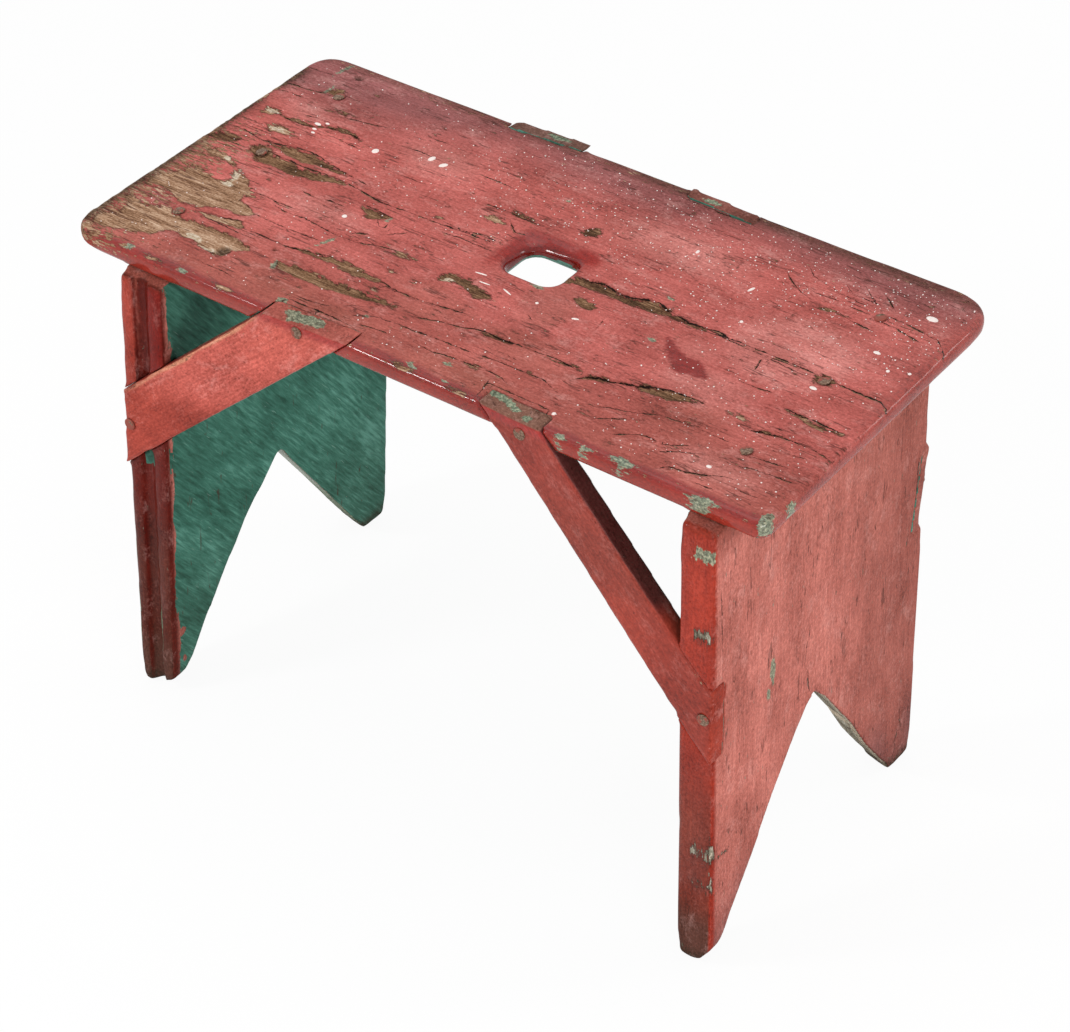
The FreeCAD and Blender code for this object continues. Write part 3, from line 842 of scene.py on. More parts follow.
@dataclass(frozen=True)
class WornPaint:
    """Worn brushed red over older green over bare wood; colours as a screen shows them."""

    name: str
    wood_grey: float = 0.0
    chip_amount: float = 0.1
    hairline_amount: float = 0.48
    bloom_and_sheen: float = 0.28
    relief: float = 1.6
    specular: float = 0.07
    varnish: float = 0.35

    def build(self, groups: FinishGroups) -> bpy.types.Material:
        """Make the material.

        Args:
            groups: The shared node groups.

        Returns:
            The material.
        """
        material, tree = blank_material(self.name)
        place = tree.add("ShaderNodeAttribute", None, attribute_name="grain_place").outputs["Vector"]
        coat = tree.use(groups.coat, {"Place": place}).outputs
        gloss, dirt_and_shade_amount, wear = (tree.carried(name) for name in ("gloss", "dirt_and_shade", "wear"))
        matte = tree.math("SUBTRACT", 1.0, gloss)

        # Red coat: its own tint, with mottling, brush marks, pits, and pale bloom where it is matte, partly
        # painted sheen
        base = tree.add("ShaderNodeAttribute", None, attribute_name="coat_tint").outputs["Color"]
        tone = tree.sum((coat["Cloud"], 0.34), (coat["Mottle"], 0.46), (coat["Brush"], 0.2))
        shade = tree.ramp(
            tone, (0.36, (116, 102, 99)), (0.45, (166, 160, 158)), (0.52, (187, 187, 187)),
            (0.61, (216, 226, 228)),
        )
        lively = tree.mix(1.0, base, shade, "MULTIPLY")
        lively = tree.mix(1.0, lively, (1.95, 1.95, 1.95, 1.0), "MULTIPLY")
        pale = tree.math("MULTIPLY", tree.math("MULTIPLY", coat["Bloom And Sheen"], matte), self.bloom_and_sheen)
        lively = tree.mix(pale, lively, linear((226, 176, 168)))
        pitted = tree.mix(1.0, lively, (0.32, 0.2, 0.18, 1.0), "MULTIPLY")
        red = tree.mix(tree.math("MULTIPLY", coat["Pits"], 0.7), lively, pitted)

        # Older coats, then bare wood
        green = tree.use(groups.strokes, {"Place": place}).outputs
        on_green = groups.edge(tree, place, "green", 8.0).outputs
        paint = tree.mix(on_green["Mask"], red, green["Colour"])
        on_old = groups.edge(tree, place, "old_paint", 8.0).outputs
        old = tree.ramp(
            coat["Mottle"], (0.36, (66, 78, 64)), (0.46, (92, 122, 102)), (0.54, (130, 152, 126)),
            (0.66, (190, 196, 168)),
        )
        paint = tree.mix(tree.math("MULTIPLY", on_old["Mask"], 0.78), paint, old)
        grain = {"Place": place, "Grey": self.wood_grey, "Depth": tree.carried("gouge")}
        wood = tree.use(groups.wood, grain).outputs
        on_bare = groups.edge(tree, place, "bare", 12.0).outputs
        chipping = tree.math("ADD", wear, self.chip_amount)
        chips = tree.use(groups.chips, {"Place": place, "Amount": chipping}).outputs
        bare = tree.math("MAXIMUM", on_bare["Mask"], chips["Mask"])
        run = {"Place": place, "Offset": tree.carried("split"), "Width": tree.carried("split_width")}
        crack = tree.use(groups.crack, run).outputs
        bare = tree.math("MAXIMUM", bare, crack["Lip"])
        colour = tree.mix(bare, paint, wood["Colour"])
        on_filler = groups.edge(tree, place, "filler", 9.0).outputs
        putty = tree.ramp(coat["Mottle"], (0.4, (164, 140, 112)), (0.6, (222, 210, 190)))
        colour = tree.mix(tree.math("MULTIPLY", on_filler["Mask"], 0.85), colour, putty)
        # Painted shadow and dirt: a dark band just inside each bare patch, where the paint's step shades the
        # wood
        colour = tree.cover(colour, on_bare["Shadow Rim"], 0.75, (42, 28, 20))
        # The lip outside is darkened a little, partly dirt and partly painted shade
        colour = tree.cover(colour, on_bare["Lip"], 0.3, (92, 44, 36))

        # Cracks, hairlines, and dirt, which on the end boards includes painted shade under the seat
        hair_amount = tree.math("MULTIPLY", matte, tree.math("ADD", self.hairline_amount, wear))
        hair = tree.use(groups.hairlines, {"Place": place, "Amount": hair_amount}).outputs["Mask"]
        colour = tree.cover(colour, crack["Shade"], 0.3, (112, 58, 46))
        colour = tree.cover(colour, hair, 0.75, (70, 36, 28))
        colour = tree.mix(crack["Mask"], colour, linear((30, 18, 12)))
        # Soot colour from the carried field: dirt, and on the end boards also painted shade under the seat
        dirt_and_shade_share = tree.math("MULTIPLY", dirt_and_shade_amount, tree.step(coat["Mottle"], 0.34, 0.62, 1.0, 0.62))
        colour = tree.mix(dirt_and_shade_share, colour, linear((56, 44, 34)))

        # Relief in millimetres
        skin = tree.sum((coat["Mottle"], 0.5 * self.relief), (coat["Brush"], 0.3 * self.relief))
        skin = tree.math("MULTIPLY", skin, tree.step(gloss, 0.0, 1.0, 1.0, 0.6))
        skin = tree.math("SUBTRACT", skin, tree.sum((coat["Pits"], 0.25), (hair, 0.3)))
        skin = tree.blend(on_green["Mask"], skin, tree.math("MULTIPLY", green["Height"], 0.9))
        lifted = tree.math("ADD", skin, tree.math("MULTIPLY", on_bare["Lip"], 0.25))
        fibres = tree.math("ADD", tree.math("MULTIPLY", wood["Height"], 1.1), -0.75)
        height = tree.blend(bare, lifted, fibres)
        height = tree.math("SUBTRACT", height, tree.math("MULTIPLY", crack["Mask"], 0.8))
        bump = tree.add("ShaderNodeBump", {"Strength": 0.85, "Distance": MM, "Height": height})
        dry = tree.math("MAXIMUM", bare, tree.math("MULTIPLY", dirt_and_shade_amount, 0.8))
        shine = tree.blend(gloss, tree.step(coat["Mottle"], 0.35, 0.65, 0.42, 0.62), 0.22)
        wet = tree.math("SUBTRACT", 1.0, dry)
        varnish = tree.math("MULTIPLY", tree.math("MULTIPLY", gloss, self.varnish), wet)
        shader = tree.add("ShaderNodeBsdfPrincipled", {
            "Base Color": colour, "Roughness": tree.blend(dry, shine, 0.85),
            "Specular IOR Level": self.specular, "Coat Weight": varnish, "Coat Roughness": 0.1,
            "Normal": bump.outputs[0],
        })
        tree.add("ShaderNodeOutputMaterial", {0: shader.outputs[0]})
        return material


@dataclass
class SeatWear:
    """What weather and use have done to the seat's top, in millimetres from its front left corner."""

    bare: tuple[Patch | Spot, ...] = (
        Patch((
            (16, 98), (30, 98), (37, 95), (47, 95), (52, 98), (50, 104), (47, 112), (50, 112), (56, 107),
            (63, 106), (67, 101), (70, 97), (85, 94), (84, 92), (70, 91), (72, 87), (78, 84), (85, 81),
            (90, 79), (91, 75), (86, 72), (70, 70), (62, 68), (55, 62), (48, 62), (42, 61), (38, 64),
            (30, 66), (22, 67), (10, 68), (8, 75), (10, 80), (17, 85), (21, 90), (20, 95),
        )),
        Patch((
            (10, 50), (18, 47), (25, 46), (32, 48), (44, 51), (50, 48), (57, 47), (65, 50), (80, 49),
            (95, 50), (105, 49), (112, 46), (116, 43), (110, 40), (105, 38), (104, 34), (107, 31),
            (105, 29), (92, 28), (85, 30), (75, 33), (60, 32), (56, 31), (55, 27), (52, 22), (47, 20),
            (42, 18), (35, 17), (30, 14), (25, 12), (18, 10), (12, 12), (8, 18), (10, 25), (17, 27),
            (19, 33), (17, 40), (12, 43), (8, 46),
        )),
        Patch((
            (9, 120), (20, 121), (30, 121), (38, 118), (46, 113), (43, 113), (35, 115), (20, 115),
            (15, 118),
        )),
        Patch(((58, 58), (65, 61), (75, 62), (85, 65), (92, 66), (96, 60), (93, 58), (75, 57), (66, 57))),
        Patch(((27, 165), (35, 168), (42, 169), (50, 165), (55, 162), (45, 161), (35, 160)), 0.4),
        Patch(((14, 182), (22, 184), (27, 181), (24, 177), (16, 173), (14, 178)), 0.4),
        Patch(((212, 161), (217, 164), (224, 164), (229, 161), (224, 158), (217, 158)), 0.4),
        Spot((197.5, 94.5), (8, 1.8), 6), Spot((203, 78), (3, 1.4)), Spot((205, 55), (3, 1.8)),
        Spot((221, 77), (2, 1.2)), Spot((464, 77), (6, 1.5)), Spot((305, 27.5), (3.5, 1.3)),
        Spot((190.5, 141.5), (2.5, 1.0)), Spot((272, 2), (7, 2.2), -8), Spot((312, 3), (6, 2)),
        Spot((128, 3), (5, 1.8)), Spot((70, 2), (6, 1.6)),
    )
    gouges: tuple[Patch | Spot, ...] = (
        Patch((
            (45, 147), (55, 150), (62, 153), (75, 154), (90, 151), (105, 149), (113, 147), (100, 145),
            (88, 146), (75, 142), (65, 143), (55, 146),
        ), 1.1),
        Patch((
            (38, 133), (38, 141), (44, 143), (50, 141), (55, 139), (65, 138), (80, 136), (90, 137),
            (100, 139), (113, 140), (118, 138), (108, 134), (98, 130), (90, 128), (80, 126), (70, 127),
            (60, 128), (52, 127), (44, 131),
        ), 1.1),
        Patch(((3, 133), (10, 141), (18, 143), (26, 141), (24, 137), (15, 134), (8, 132)), 0.9),
        Patch((
            (28, 178), (45, 177), (55, 179), (62, 183), (72, 185), (82, 185), (93, 184), (90, 187),
            (82, 188), (72, 188), (62, 185), (45, 180),
        ), 0.8),
        Patch((
            (130, 60), (140, 64), (155, 67), (170, 69), (180, 69), (190, 67), (205, 66), (210, 64),
            (200, 63), (190, 62), (185, 60), (178, 59), (176, 61), (165, 63), (150, 62), (140, 62),
        ), 0.9),
        Patch((
            (137, 46), (150, 48), (165, 48), (180, 49), (200, 49), (215, 50), (230, 49), (228, 47),
            (210, 45), (200, 43), (190, 41), (180, 39), (165, 38), (155, 38), (150, 40), (140, 40),
        ), 0.9),
        Patch((
            (142, 126), (150, 126), (158, 125), (165, 124), (160, 118), (155, 116), (150, 117), (146, 121),
        ), 0.8),
        Patch((
            (230, 87), (230, 93), (234, 97), (240, 98), (248, 99), (255, 96), (262, 94), (270, 93),
            (272, 90), (265, 86), (262, 84), (255, 87), (248, 91), (240, 90), (236, 88), (233, 86),
        ), 0.6),
        Patch(((288, 57), (294, 60), (302, 60), (310, 60), (310, 58), (300, 57)), 0.7),
        Patch(((335, 60), (345, 62), (355, 63), (360, 61), (352, 61), (342, 60)), 0.7),
        Patch((
            (363, 54), (366, 60), (372, 63), (381, 63), (388, 66), (395, 69), (400, 71), (410, 74),
            (420, 76), (428, 77), (437, 76), (430, 74), (425, 70), (418, 67), (405, 66), (396, 66),
            (386, 64), (375, 59), (368, 57),
        ), 1.2),
        Patch((
            (297, 135), (302, 140), (310, 141), (318, 143), (325, 142), (332, 139), (340, 139), (346, 143),
            (353, 146), (360, 145), (366, 142), (372, 140), (385, 139), (398, 139), (398, 137), (385, 137),
            (372, 136), (360, 135), (345, 134), (330, 134), (315, 133), (303, 132),
        ), 1.2),
        Patch(((311, 121), (318, 123), (325, 122), (330, 119), (328, 115), (320, 114), (315, 117)), 0.6),
        Patch(((272, 182), (276, 188), (281, 190), (286, 186), (284, 181), (277, 178)), 0.6),
        Patch((
            (480, 99), (490, 100), (500, 99), (510, 98), (523, 98), (515, 96), (505, 94), (495, 95),
            (488, 97),
        ), 0.9),
        Patch(((474, 71), (480, 74), (490, 76), (495, 76), (485, 72), (478, 71)), 0.8),
        Spot((41, 222), (6, 4.6), 20), Spot((231, 174), (7, 1.8)), Spot((445, 199), (9, 1.6)),
        Spot((298, 133), (5, 3.4), 20), Spot((483, 136), (7, 5)), Spot((60, 204), (6, 1.3), 10),
    )
    islands: tuple[Patch, ...] = (
        Patch(((4, 86), (8, 94), (14, 98), (19, 95), (20, 89), (15, 84), (8, 83))),
        Patch((
            (7, 64), (17, 65), (30, 64), (37, 61), (43, 58), (40, 54), (30, 51), (18, 50), (14, 53),
            (16, 57), (8, 58),
        )),
        Patch(((11, 30), (12, 40), (16, 42), (18, 35), (16, 28))),
    )
    old_paint: tuple[Patch | Spot, ...] = (
        Patch((
            (174, 12), (178, 9), (185, 10), (192, 11), (200, 12), (205, 10), (206, 6), (203, 3), (195, 3),
            (190, 2), (183, 0), (180, 4), (176, 7),
        )),
        Spot((167, 13), (3, 3)), Spot((275, 6), (4.5, 2), -20), Spot((300, 4.5), (2.5, 1.5)),
        Spot((291, 20), (3.5, 1.8)), Spot((387, 2), (3.5, 1.8)), Spot((405, 2), (5, 1.5)),
        Spot((430, 2.5), (9, 2.5)), Spot((489, 1.5), (10, 2.2)), Spot((528, 6), (4, 7)),
        Spot((531, 28), (1.5, 4)), Spot((27, 248), (1.8, 9), -12), Spot((219, 31), (3, 1.4)),
        Spot((376, 112), (2.4, 2)), Spot((361, 153), (3, 1.6)), Spot((247, 205), (2, 1.8)),
        Spot((138, 42), (2, 5), 20), Spot((148, 78), (1.2, 8), -20), Spot((165, 121), (2.2, 3)),
        Spot((34, 222), (1.4, 5)), Spot((286, 117), (4, 2.2)), Spot((96, 3), (4, 2)),
        Spot((50, 4), (5, 1.6)), Spot((232, 175), (5, 1.2)), Spot((215, 163), (3, 0.9)),
        Spot((322, 118), (3, 1.6)), Spot((279, 184), (3, 1.6)),
    )
    filler: tuple[Spot, ...] = (
        Spot((77, 36), (6.5, 3), -20), Spot((93, 30), (6, 2)), Spot((52, 105), (2.6, 6.5), 15),
        Spot((54, 95), (4, 1.8)), Spot((34, 118), (3, 1.6)), Spot((20, 180), (5, 2)),
        Spot((38, 165), (6, 2)), Spot((236, 91), (4, 2.2), 40),
    )
    stains: tuple[Spot, ...] = (
        Spot((303, 104), (18, 24)), Spot((235, 65), (34, 16)), Spot((330, 60), (40, 14)),
        Spot((205, 20), (30, 9)), Spot((455, 60), (46, 20)), Spot((300, 16), (30, 9)),
        Spot((150, 30), (30, 12)), Spot((90, 12), (50, 8)),
    )
    bloom_and_sheen: tuple[Spot, ...] = (
        Spot((452, 150), (40, 34), 20), Spot((430, 90), (26, 14)), Spot((42, 197), (16, 12)),
        Spot((330, 200), (45, 18)), Spot((150, 195), (26, 14)), Spot((480, 30), (26, 12)),
        Spot((405, 118), (10, 6)), Spot((120, 105), (26, 9)),
    )
    spill: Patch = Patch((
        (380, 121), (388, 118), (394, 113), (398, 111), (405, 109), (413, 110), (417, 107), (420, 103),
        (425, 100), (424, 97), (418, 95), (412, 93), (405, 94), (400, 97), (395, 101), (390, 107), (384, 115),
    ))
    holes: tuple[Spot, ...] = (
        Spot((41.5, 245.5), (3.2, 2.4), 10), Spot((128, 54), (1.4, 1.6)), Spot((102, 35), (4, 5)),
    )
    splits: tuple[Split, ...] = (
        Split((
            (8, 150), (20, 151), (35, 148), (48, 149), (62, 154), (75, 155), (90, 152), (113, 148),
            (130, 145),
        ), 1.3),
        Split((
            (50, 140), (65, 139), (80, 138), (95, 140), (110, 141), (130, 138), (150, 135), (200, 138),
            (240, 139),
        ), 1.2),
        Split(((3, 132), (20, 134), (36, 135)), 1.2),
        Split(((70, 97), (85, 97), (95, 96), (110, 98)), 1.0),
        Split(((90, 78), (105, 77), (133, 77), (145, 78)), 0.9),
        Split(((100, 116), (112, 115), (120, 117), (133, 117)), 1.0),
        Split(((96, 92), (108, 91), (120, 93), (130, 91), (150, 89), (163, 90), (180, 95), (192, 97)), 1.0),
        Split(((66, 57), (85, 56), (110, 55)), 0.9), Split(((56, 58), (66, 62), (78, 63), (92, 67)), 1.0),
        Split(((92, 61), (110, 61), (128, 61), (140, 63), (160, 68)), 0.9),
        Split(((100, 17), (115, 17), (130, 15)), 0.8), Split(((20, 156), (40, 157)), 1.0),
        Split(((5, 163), (27, 163)), 0.9), Split(((55, 163), (70, 163)), 0.7),
        Split(((28, 179), (45, 178), (55, 180), (62, 184), (72, 187.5), (82, 188), (93, 186)), 1.4),
        Split(((70, 177), (80, 178), (96, 176)), 1.0), Split(((0, 203), (15, 205), (28, 205)), 0.9),
        Split(((4, 213), (20, 214), (36, 217)), 1.0), Split(((5, 237), (25, 238)), 1.0),
        Split(((65, 200), (75, 203), (85, 205), (100, 209)), 0.9), Split(((40, 188), (60, 191)), 0.8),
        Split(((110, 195), (133, 197), (150, 196)), 0.7), Split(((70, 242), (78, 243)), 0.6),
        Split(((142, 127), (155, 126), (166, 125)), 1.2),
        Split(((160, 117), (165, 112), (169, 113), (168, 118)), 0.8),
        Split(((155, 95), (158, 99), (164, 101)), 1.4), Split(((175, 108), (185, 117)), 0.7),
        Split(((205, 66), (215, 63), (232, 63), (245, 65), (258, 67), (268, 68)), 1.3),
        Split(((205, 57), (215, 60), (222, 63)), 0.9), Split(((201, 30), (206, 35), (213, 39)), 1.1),
        Split(((213, 27), (220, 31), (228, 35)), 0.7), Split(((172, 23), (190, 25), (196, 27)), 0.8),
        Split((
            (230, 34), (250, 36), (268, 37), (300, 39), (320, 40), (345, 41), (355, 38), (360, 36),
        ), 1.1),
        Split(((222, 21), (235, 24), (241, 25)), 0.9),
        Split((
            (240, 46), (252, 50), (262, 53), (275, 56), (283, 59), (291, 60.5), (310, 60), (325, 61),
            (345, 62.5), (360, 60.5),
        ), 1.3),
        Split(((262, 27), (275, 25), (285, 27), (300, 28), (310, 29), (325, 28), (330, 26)), 1.2),
        Split(((300, 48), (322, 48)), 0.8),
        Split((
            (362, 53), (366, 59), (372, 62.5), (381, 62.5), (388, 66), (400, 71), (415, 76), (432, 77.5),
            (438, 76),
        ), 1.6),
        Split((
            (386, 36), (395, 41), (405, 44), (415, 48), (425, 53), (440, 54.5), (458, 54), (472, 54.5),
        ), 0.9),
        Split(((301, 89), (305, 86)), 0.9), Split(((341, 110), (342, 102)), 0.7),
        Split(((394, 27), (402, 33), (410, 38)), 0.8),
        Split(((412, 21), (420, 27), (427, 31), (438, 31)), 1.0),
        Split(((434, 28), (445, 33), (455, 40)), 0.9), Split(((440, 22), (450, 29), (460, 34)), 1.0),
        Split(((450, 10), (455, 15), (465, 16), (475, 20), (485, 26), (491, 27)), 1.3),
        Split(((475, 11), (490, 13)), 0.7), Split(((500, 20), (512, 20)), 0.7),
        Split(((441, 107), (455, 107), (465, 109)), 1.0), Split(((490, 51), (500, 52), (511, 53)), 0.9),
        Split(((488, 38), (495, 41), (505, 42), (522, 43)), 0.9),
        Split(((473, 70), (480, 74), (490, 76), (500, 76.5), (515, 76), (528, 73)), 1.4),
        Split(((480, 81), (493, 82)), 0.7), Split(((480, 100), (495, 100), (510, 99), (524, 98)), 1.1),
        Split(((495, 62), (505, 65), (516, 66)), 0.7),
        Split((
            (310, 141), (318, 143.5), (325, 142.5), (332, 140), (340, 140), (346, 143), (353, 146.5),
            (360, 145.5), (366, 142.5), (385, 139), (398, 140), (404, 141.5), (412, 140), (440, 140),
            (476, 139),
        ), 1.8),
        Split(((303, 132.5), (325, 134), (345, 134), (362, 135)), 0.9),
        Split(((490, 138), (510, 138), (521, 138), (527, 134), (532, 130)), 1.8),
        Split(((395, 137), (410, 138), (430, 137), (470, 134)), 0.8), Split(((441, 132), (443, 122)), 1.0),
        Split(((452, 210), (462, 209.5), (470, 209.5)), 0.9),
        Split((
            (481, 214), (490, 214.5), (500, 213), (510, 211), (517, 210), (523, 205), (528, 199),
            (533, 193),
        ), 1.2),
        Split(((479, 207), (490, 206), (500, 204), (509, 202)), 1.2),
        Split(((404, 218), (412, 212), (420, 207), (430, 203)), 1.0),
        Split(((413, 230), (420, 224), (432, 221), (445, 218), (465, 216)), 0.6),
        Split(((440, 230), (450, 222), (470, 221)), 0.6), Split(((451, 234), (460, 226), (468, 221)), 0.6),
        Split(((468, 231), (475, 226), (480, 222)), 1.2), Split(((420, 213), (430, 210), (450, 211)), 0.6),
        Split(((455, 199.5), (465, 197), (478, 196)), 1.3),
        Split(((185, 197), (195, 197.5), (210, 197)), 1.1),
        Split(((200, 172), (225, 173), (253, 172)), 0.9), Split(((232, 163), (240, 157), (246, 159)), 1.0),
        Split(((195, 140.5), (215, 140), (225, 143), (241, 141)), 1.2),
        Split(((140, 167), (160, 168)), 0.6), Split(((200, 131), (240, 132)), 0.7),
        Split(((130, 214), (147, 215)), 0.7),
        Split(((170, 18), (190, 18.5), (215, 18), (224, 16), (228, 10), (228.5, 0)), 1.3),
        Split(((193, 2), (193, 17)), 0.9), Split(((322, 19.5), (345, 19.5), (368, 18)), 1.1),
        Split(((321, 20), (324, 8), (325, 0)), 1.1), Split(((368.5, 18), (369, 2)), 1.1),
        Split(((169, 18), (168, 8), (171, 0)), 0.8), Split(((160, 255.5), (190, 256.5), (220, 257)), 0.9),
        Split(((303, 250), (330, 250), (350, 250)), 0.9),
    )


@dataclass
class Seat:
    """The seat board with its hand hole."""

    wear: SeatWear = field(default_factory=SeatWear)
    cell: float = 1.8
    hole_middle: tuple[float, float] = (273.8, 138.7)
    hole_half: tuple[float, float] = (20.0, 17.5)

    def build(self, groups: FinishGroups) -> bpy.types.Object:
        """Wear the board down, paint it and make its piece.

        Args:
            groups: The shared node groups.

        Returns:
            The seat's piece.
        """
        board = Surface("seat_board", self.cell, (186, 97, 90))
        hills = Hills(11)
        flat = board.start[:, :2]
        wandering = hills.warp(hills.warp(flat, 9, 1.1), 3.5, 0.6)
        x, y, z = board.start.T
        up = board.normal[:, 2]
        top = ease(up, 0.1, 0.5)
        wear = self.wear

        # Where the paint and the wood are gone
        gouged = deepest(wandering, wear.gouges)
        bare = np.maximum(deepest(wandering, wear.bare), gouged)
        bare = np.minimum(bare, -deepest(wandering, wear.islands))
        left_rim = ease(x, 9, 3) * ease(y, 250, 235) * 4 - 3.0 + 2 * hills.at(board.start, (8, 14, 9))
        bare = np.where(up > 0.2, np.maximum(bare, left_rim), OUTSIDE)
        board.fields["bare"] = np.clip(bare, OUTSIDE, -OUTSIDE)
        board.fields["gouge"] = ease(gouged, -1.5, 0.5)
        board.fields["old_paint"] = np.where(up > -0.3, deepest(wandering, wear.old_paint), OUTSIDE)
        board.fields["filler"] = np.where(up > 0.5, deepest(wandering, wear.filler), OUTSIDE)
        board.mark_splits(hills.warp(flat, 12, 0.7), wear.splits, top)

        # Shape
        rim = np.hypot(*np.maximum(np.abs(flat - self.hole_middle) - self.hole_half, 0).T)
        far_rim = ease(y - 0.6 * x, -25, 5) * ease(rim, 14, 6)
        left_end = ease(x, 22, 8)
        board.soften(np.full(board.count, 1.0), 5)
        back_right = ease(np.hypot(x - SEAT_LENGTH, y - SEAT_WIDTH), 34, 20)
        worn_ends = np.clip(left_end + (back_right + ease(np.hypot(x, y), 30, 16)), 0, 1)
        board.soften(worn_ends * ease(rim, 6, 10), 9)
        sunk = np.zeros(board.count)
        for patch in wear.bare + wear.gouges:
            if isinstance(patch, Patch):
                reach = np.minimum(patch.reach(wandering), bare)
                sunk = np.maximum(sunk, patch.depth * ease(reach, -0.4, 1.6))
        near_split = ease(np.abs(board.fields["split"]), 1.8, 0.0)
        groove = np.minimum(board.fields["split_width"], 1.5) * 0.35 * near_split
        pits = ease(deepest(flat, wear.holes), -0.6, 0.6) * 2.2
        grain = hills.at(board.start, (60, 2.6, 9)) * 0.5 + hills.at(board.start, (25, 4.5, 9)) * 0.5
        wave = hills.waves(board.start, (70, 30, 60), (18, 14, 20))
        rough = ease(bare, -1, 2) * 0.3 + 0.1
        board.push(-(sunk + groove + pits + rough * (1 + grain)) * top - 0.1 * (1.5 + wave))
        board.place[:, 2] -= 2.8 * far_rim * ease(rim, 12, 1) * ease(z, SEAT_TOP - 9, SEAT_TOP - 2)

        # Colours: browner to the front, stained, pale bloom that is partly painted sheen, and painted shade
        # along the back
        tint = board.tint
        stain = hills.share(board.start, (40, 22, 40))
        tint.lay((162, 86, 76), 0.8 * ease(y, 90, 15))
        tint.lay((140, 80, 66), 0.5 * stain * ease(deepest(flat, wear.stains), -8, 4))
        # Pale patches on the top: partly chalky bloom, partly painted sheen where the top mirrors the light
        tint.lay((214, 148, 139), 0.4 * ease(deepest(flat, wear.bloom_and_sheen), -10, 10) * (0.5 + 0.5 * stain))
        # Painted shade: darker and greyer along the back and towards the back left, darkest on the back arris
        back = ease(y + 14 * hills.at(board.start, (60, 40, 60)), 205, SEAT_WIDTH)
        tint.lay((144, 84, 82), back + 0.9 * ease(x, 190, 60) * ease(y, 175, 235))
        tint.lay((122, 72, 66), 0.8 * ease(y, 246, 258))
        tint.lay((140, 24, 17), 0.9 * ease(rim, 15, 7) * ease(y - 0.5 * x, -15, 15))

        # Thick gloss red on the front arris, in the spill, at the right end, down the sides and in the hole
        front = ease(y + 1.5 * hills.at(board.start, (14, 9, 9)), 9.0, 5.0) * ease(x, 18, 30)
        right_end = ease(x, 519, 526) * ease(y, 90, 130)
        spill = ease(wear.spill.reach(wandering), -0.4, 0.4)
        tint.lay((130, 22, 16), 0.9 * front)
        tint.lay((132, 26, 20), 0.95 * spill)
        tint.lay((160, 62, 52), 0.7 * right_end)
        side = ease(up, 0.4, -0.1)
        tint.lay((146, 46, 34), side)
        tint.lay((124, 20, 14), ease(rim, 9, 3) * ease(up, 0.98, 0.8))

        # Older green underneath and low in the hole, then gloss, soot and wear
        in_hole = ease(rim, 8, 2) * ease(up, 0.97, 0.8)
        deep_in_hole = (rim < 3) & (z < SEAT_TOP - 8 + 1.5 * hills.at(board.start, (6, 6, 6)))
        board.fields["green"] = np.where(up < -0.5, 6.0, np.where(deep_in_hole, 3.0, OUTSIDE))
        smear = ease(deepest(flat, (Spot((303, 104), (16, 22)), Spot((500, 190), (30, 45)))), -6, 8) * 0.18
        glossy_side = 0.8 * side * ease(x, 15, 40)
        shiny = (front, in_hole, 0.9 * far_rim, 0.5 * spill, smear, 0.75 * right_end, glossy_side)
        board.fields["gloss"] = np.clip(np.maximum.reduce(shiny), 0, 1)
        edge_soot = 0.85 * ease(x, 15, 4) * ease(stain, 0.0, 0.45)
        edge_soot = edge_soot + 0.6 * ease(y, 248, 258) * ease(stain, 0.3, 0.65)
        board.fields["dirt_and_shade"] = np.clip(ease(deepest(flat, wear.holes), -0.8, 0.4) * top + edge_soot, 0, 1)
        near_left = ease(x, 75, 5) * ease(y, 190, 120)
        worn = np.clip(0.15 + 0.6 * near_left + 0.1 * ease(y, 12, 2) + 0.25 * ease(y, 246, 257), 0, 1)
        board.fields["wear"] = worn * ease(up, -0.4, 0.1)
        piece = board.finish(np.eye(3))
        piece.data.materials.append(WornPaint("worn_seat_paint", varnish=0.6).build(groups))
        return piece


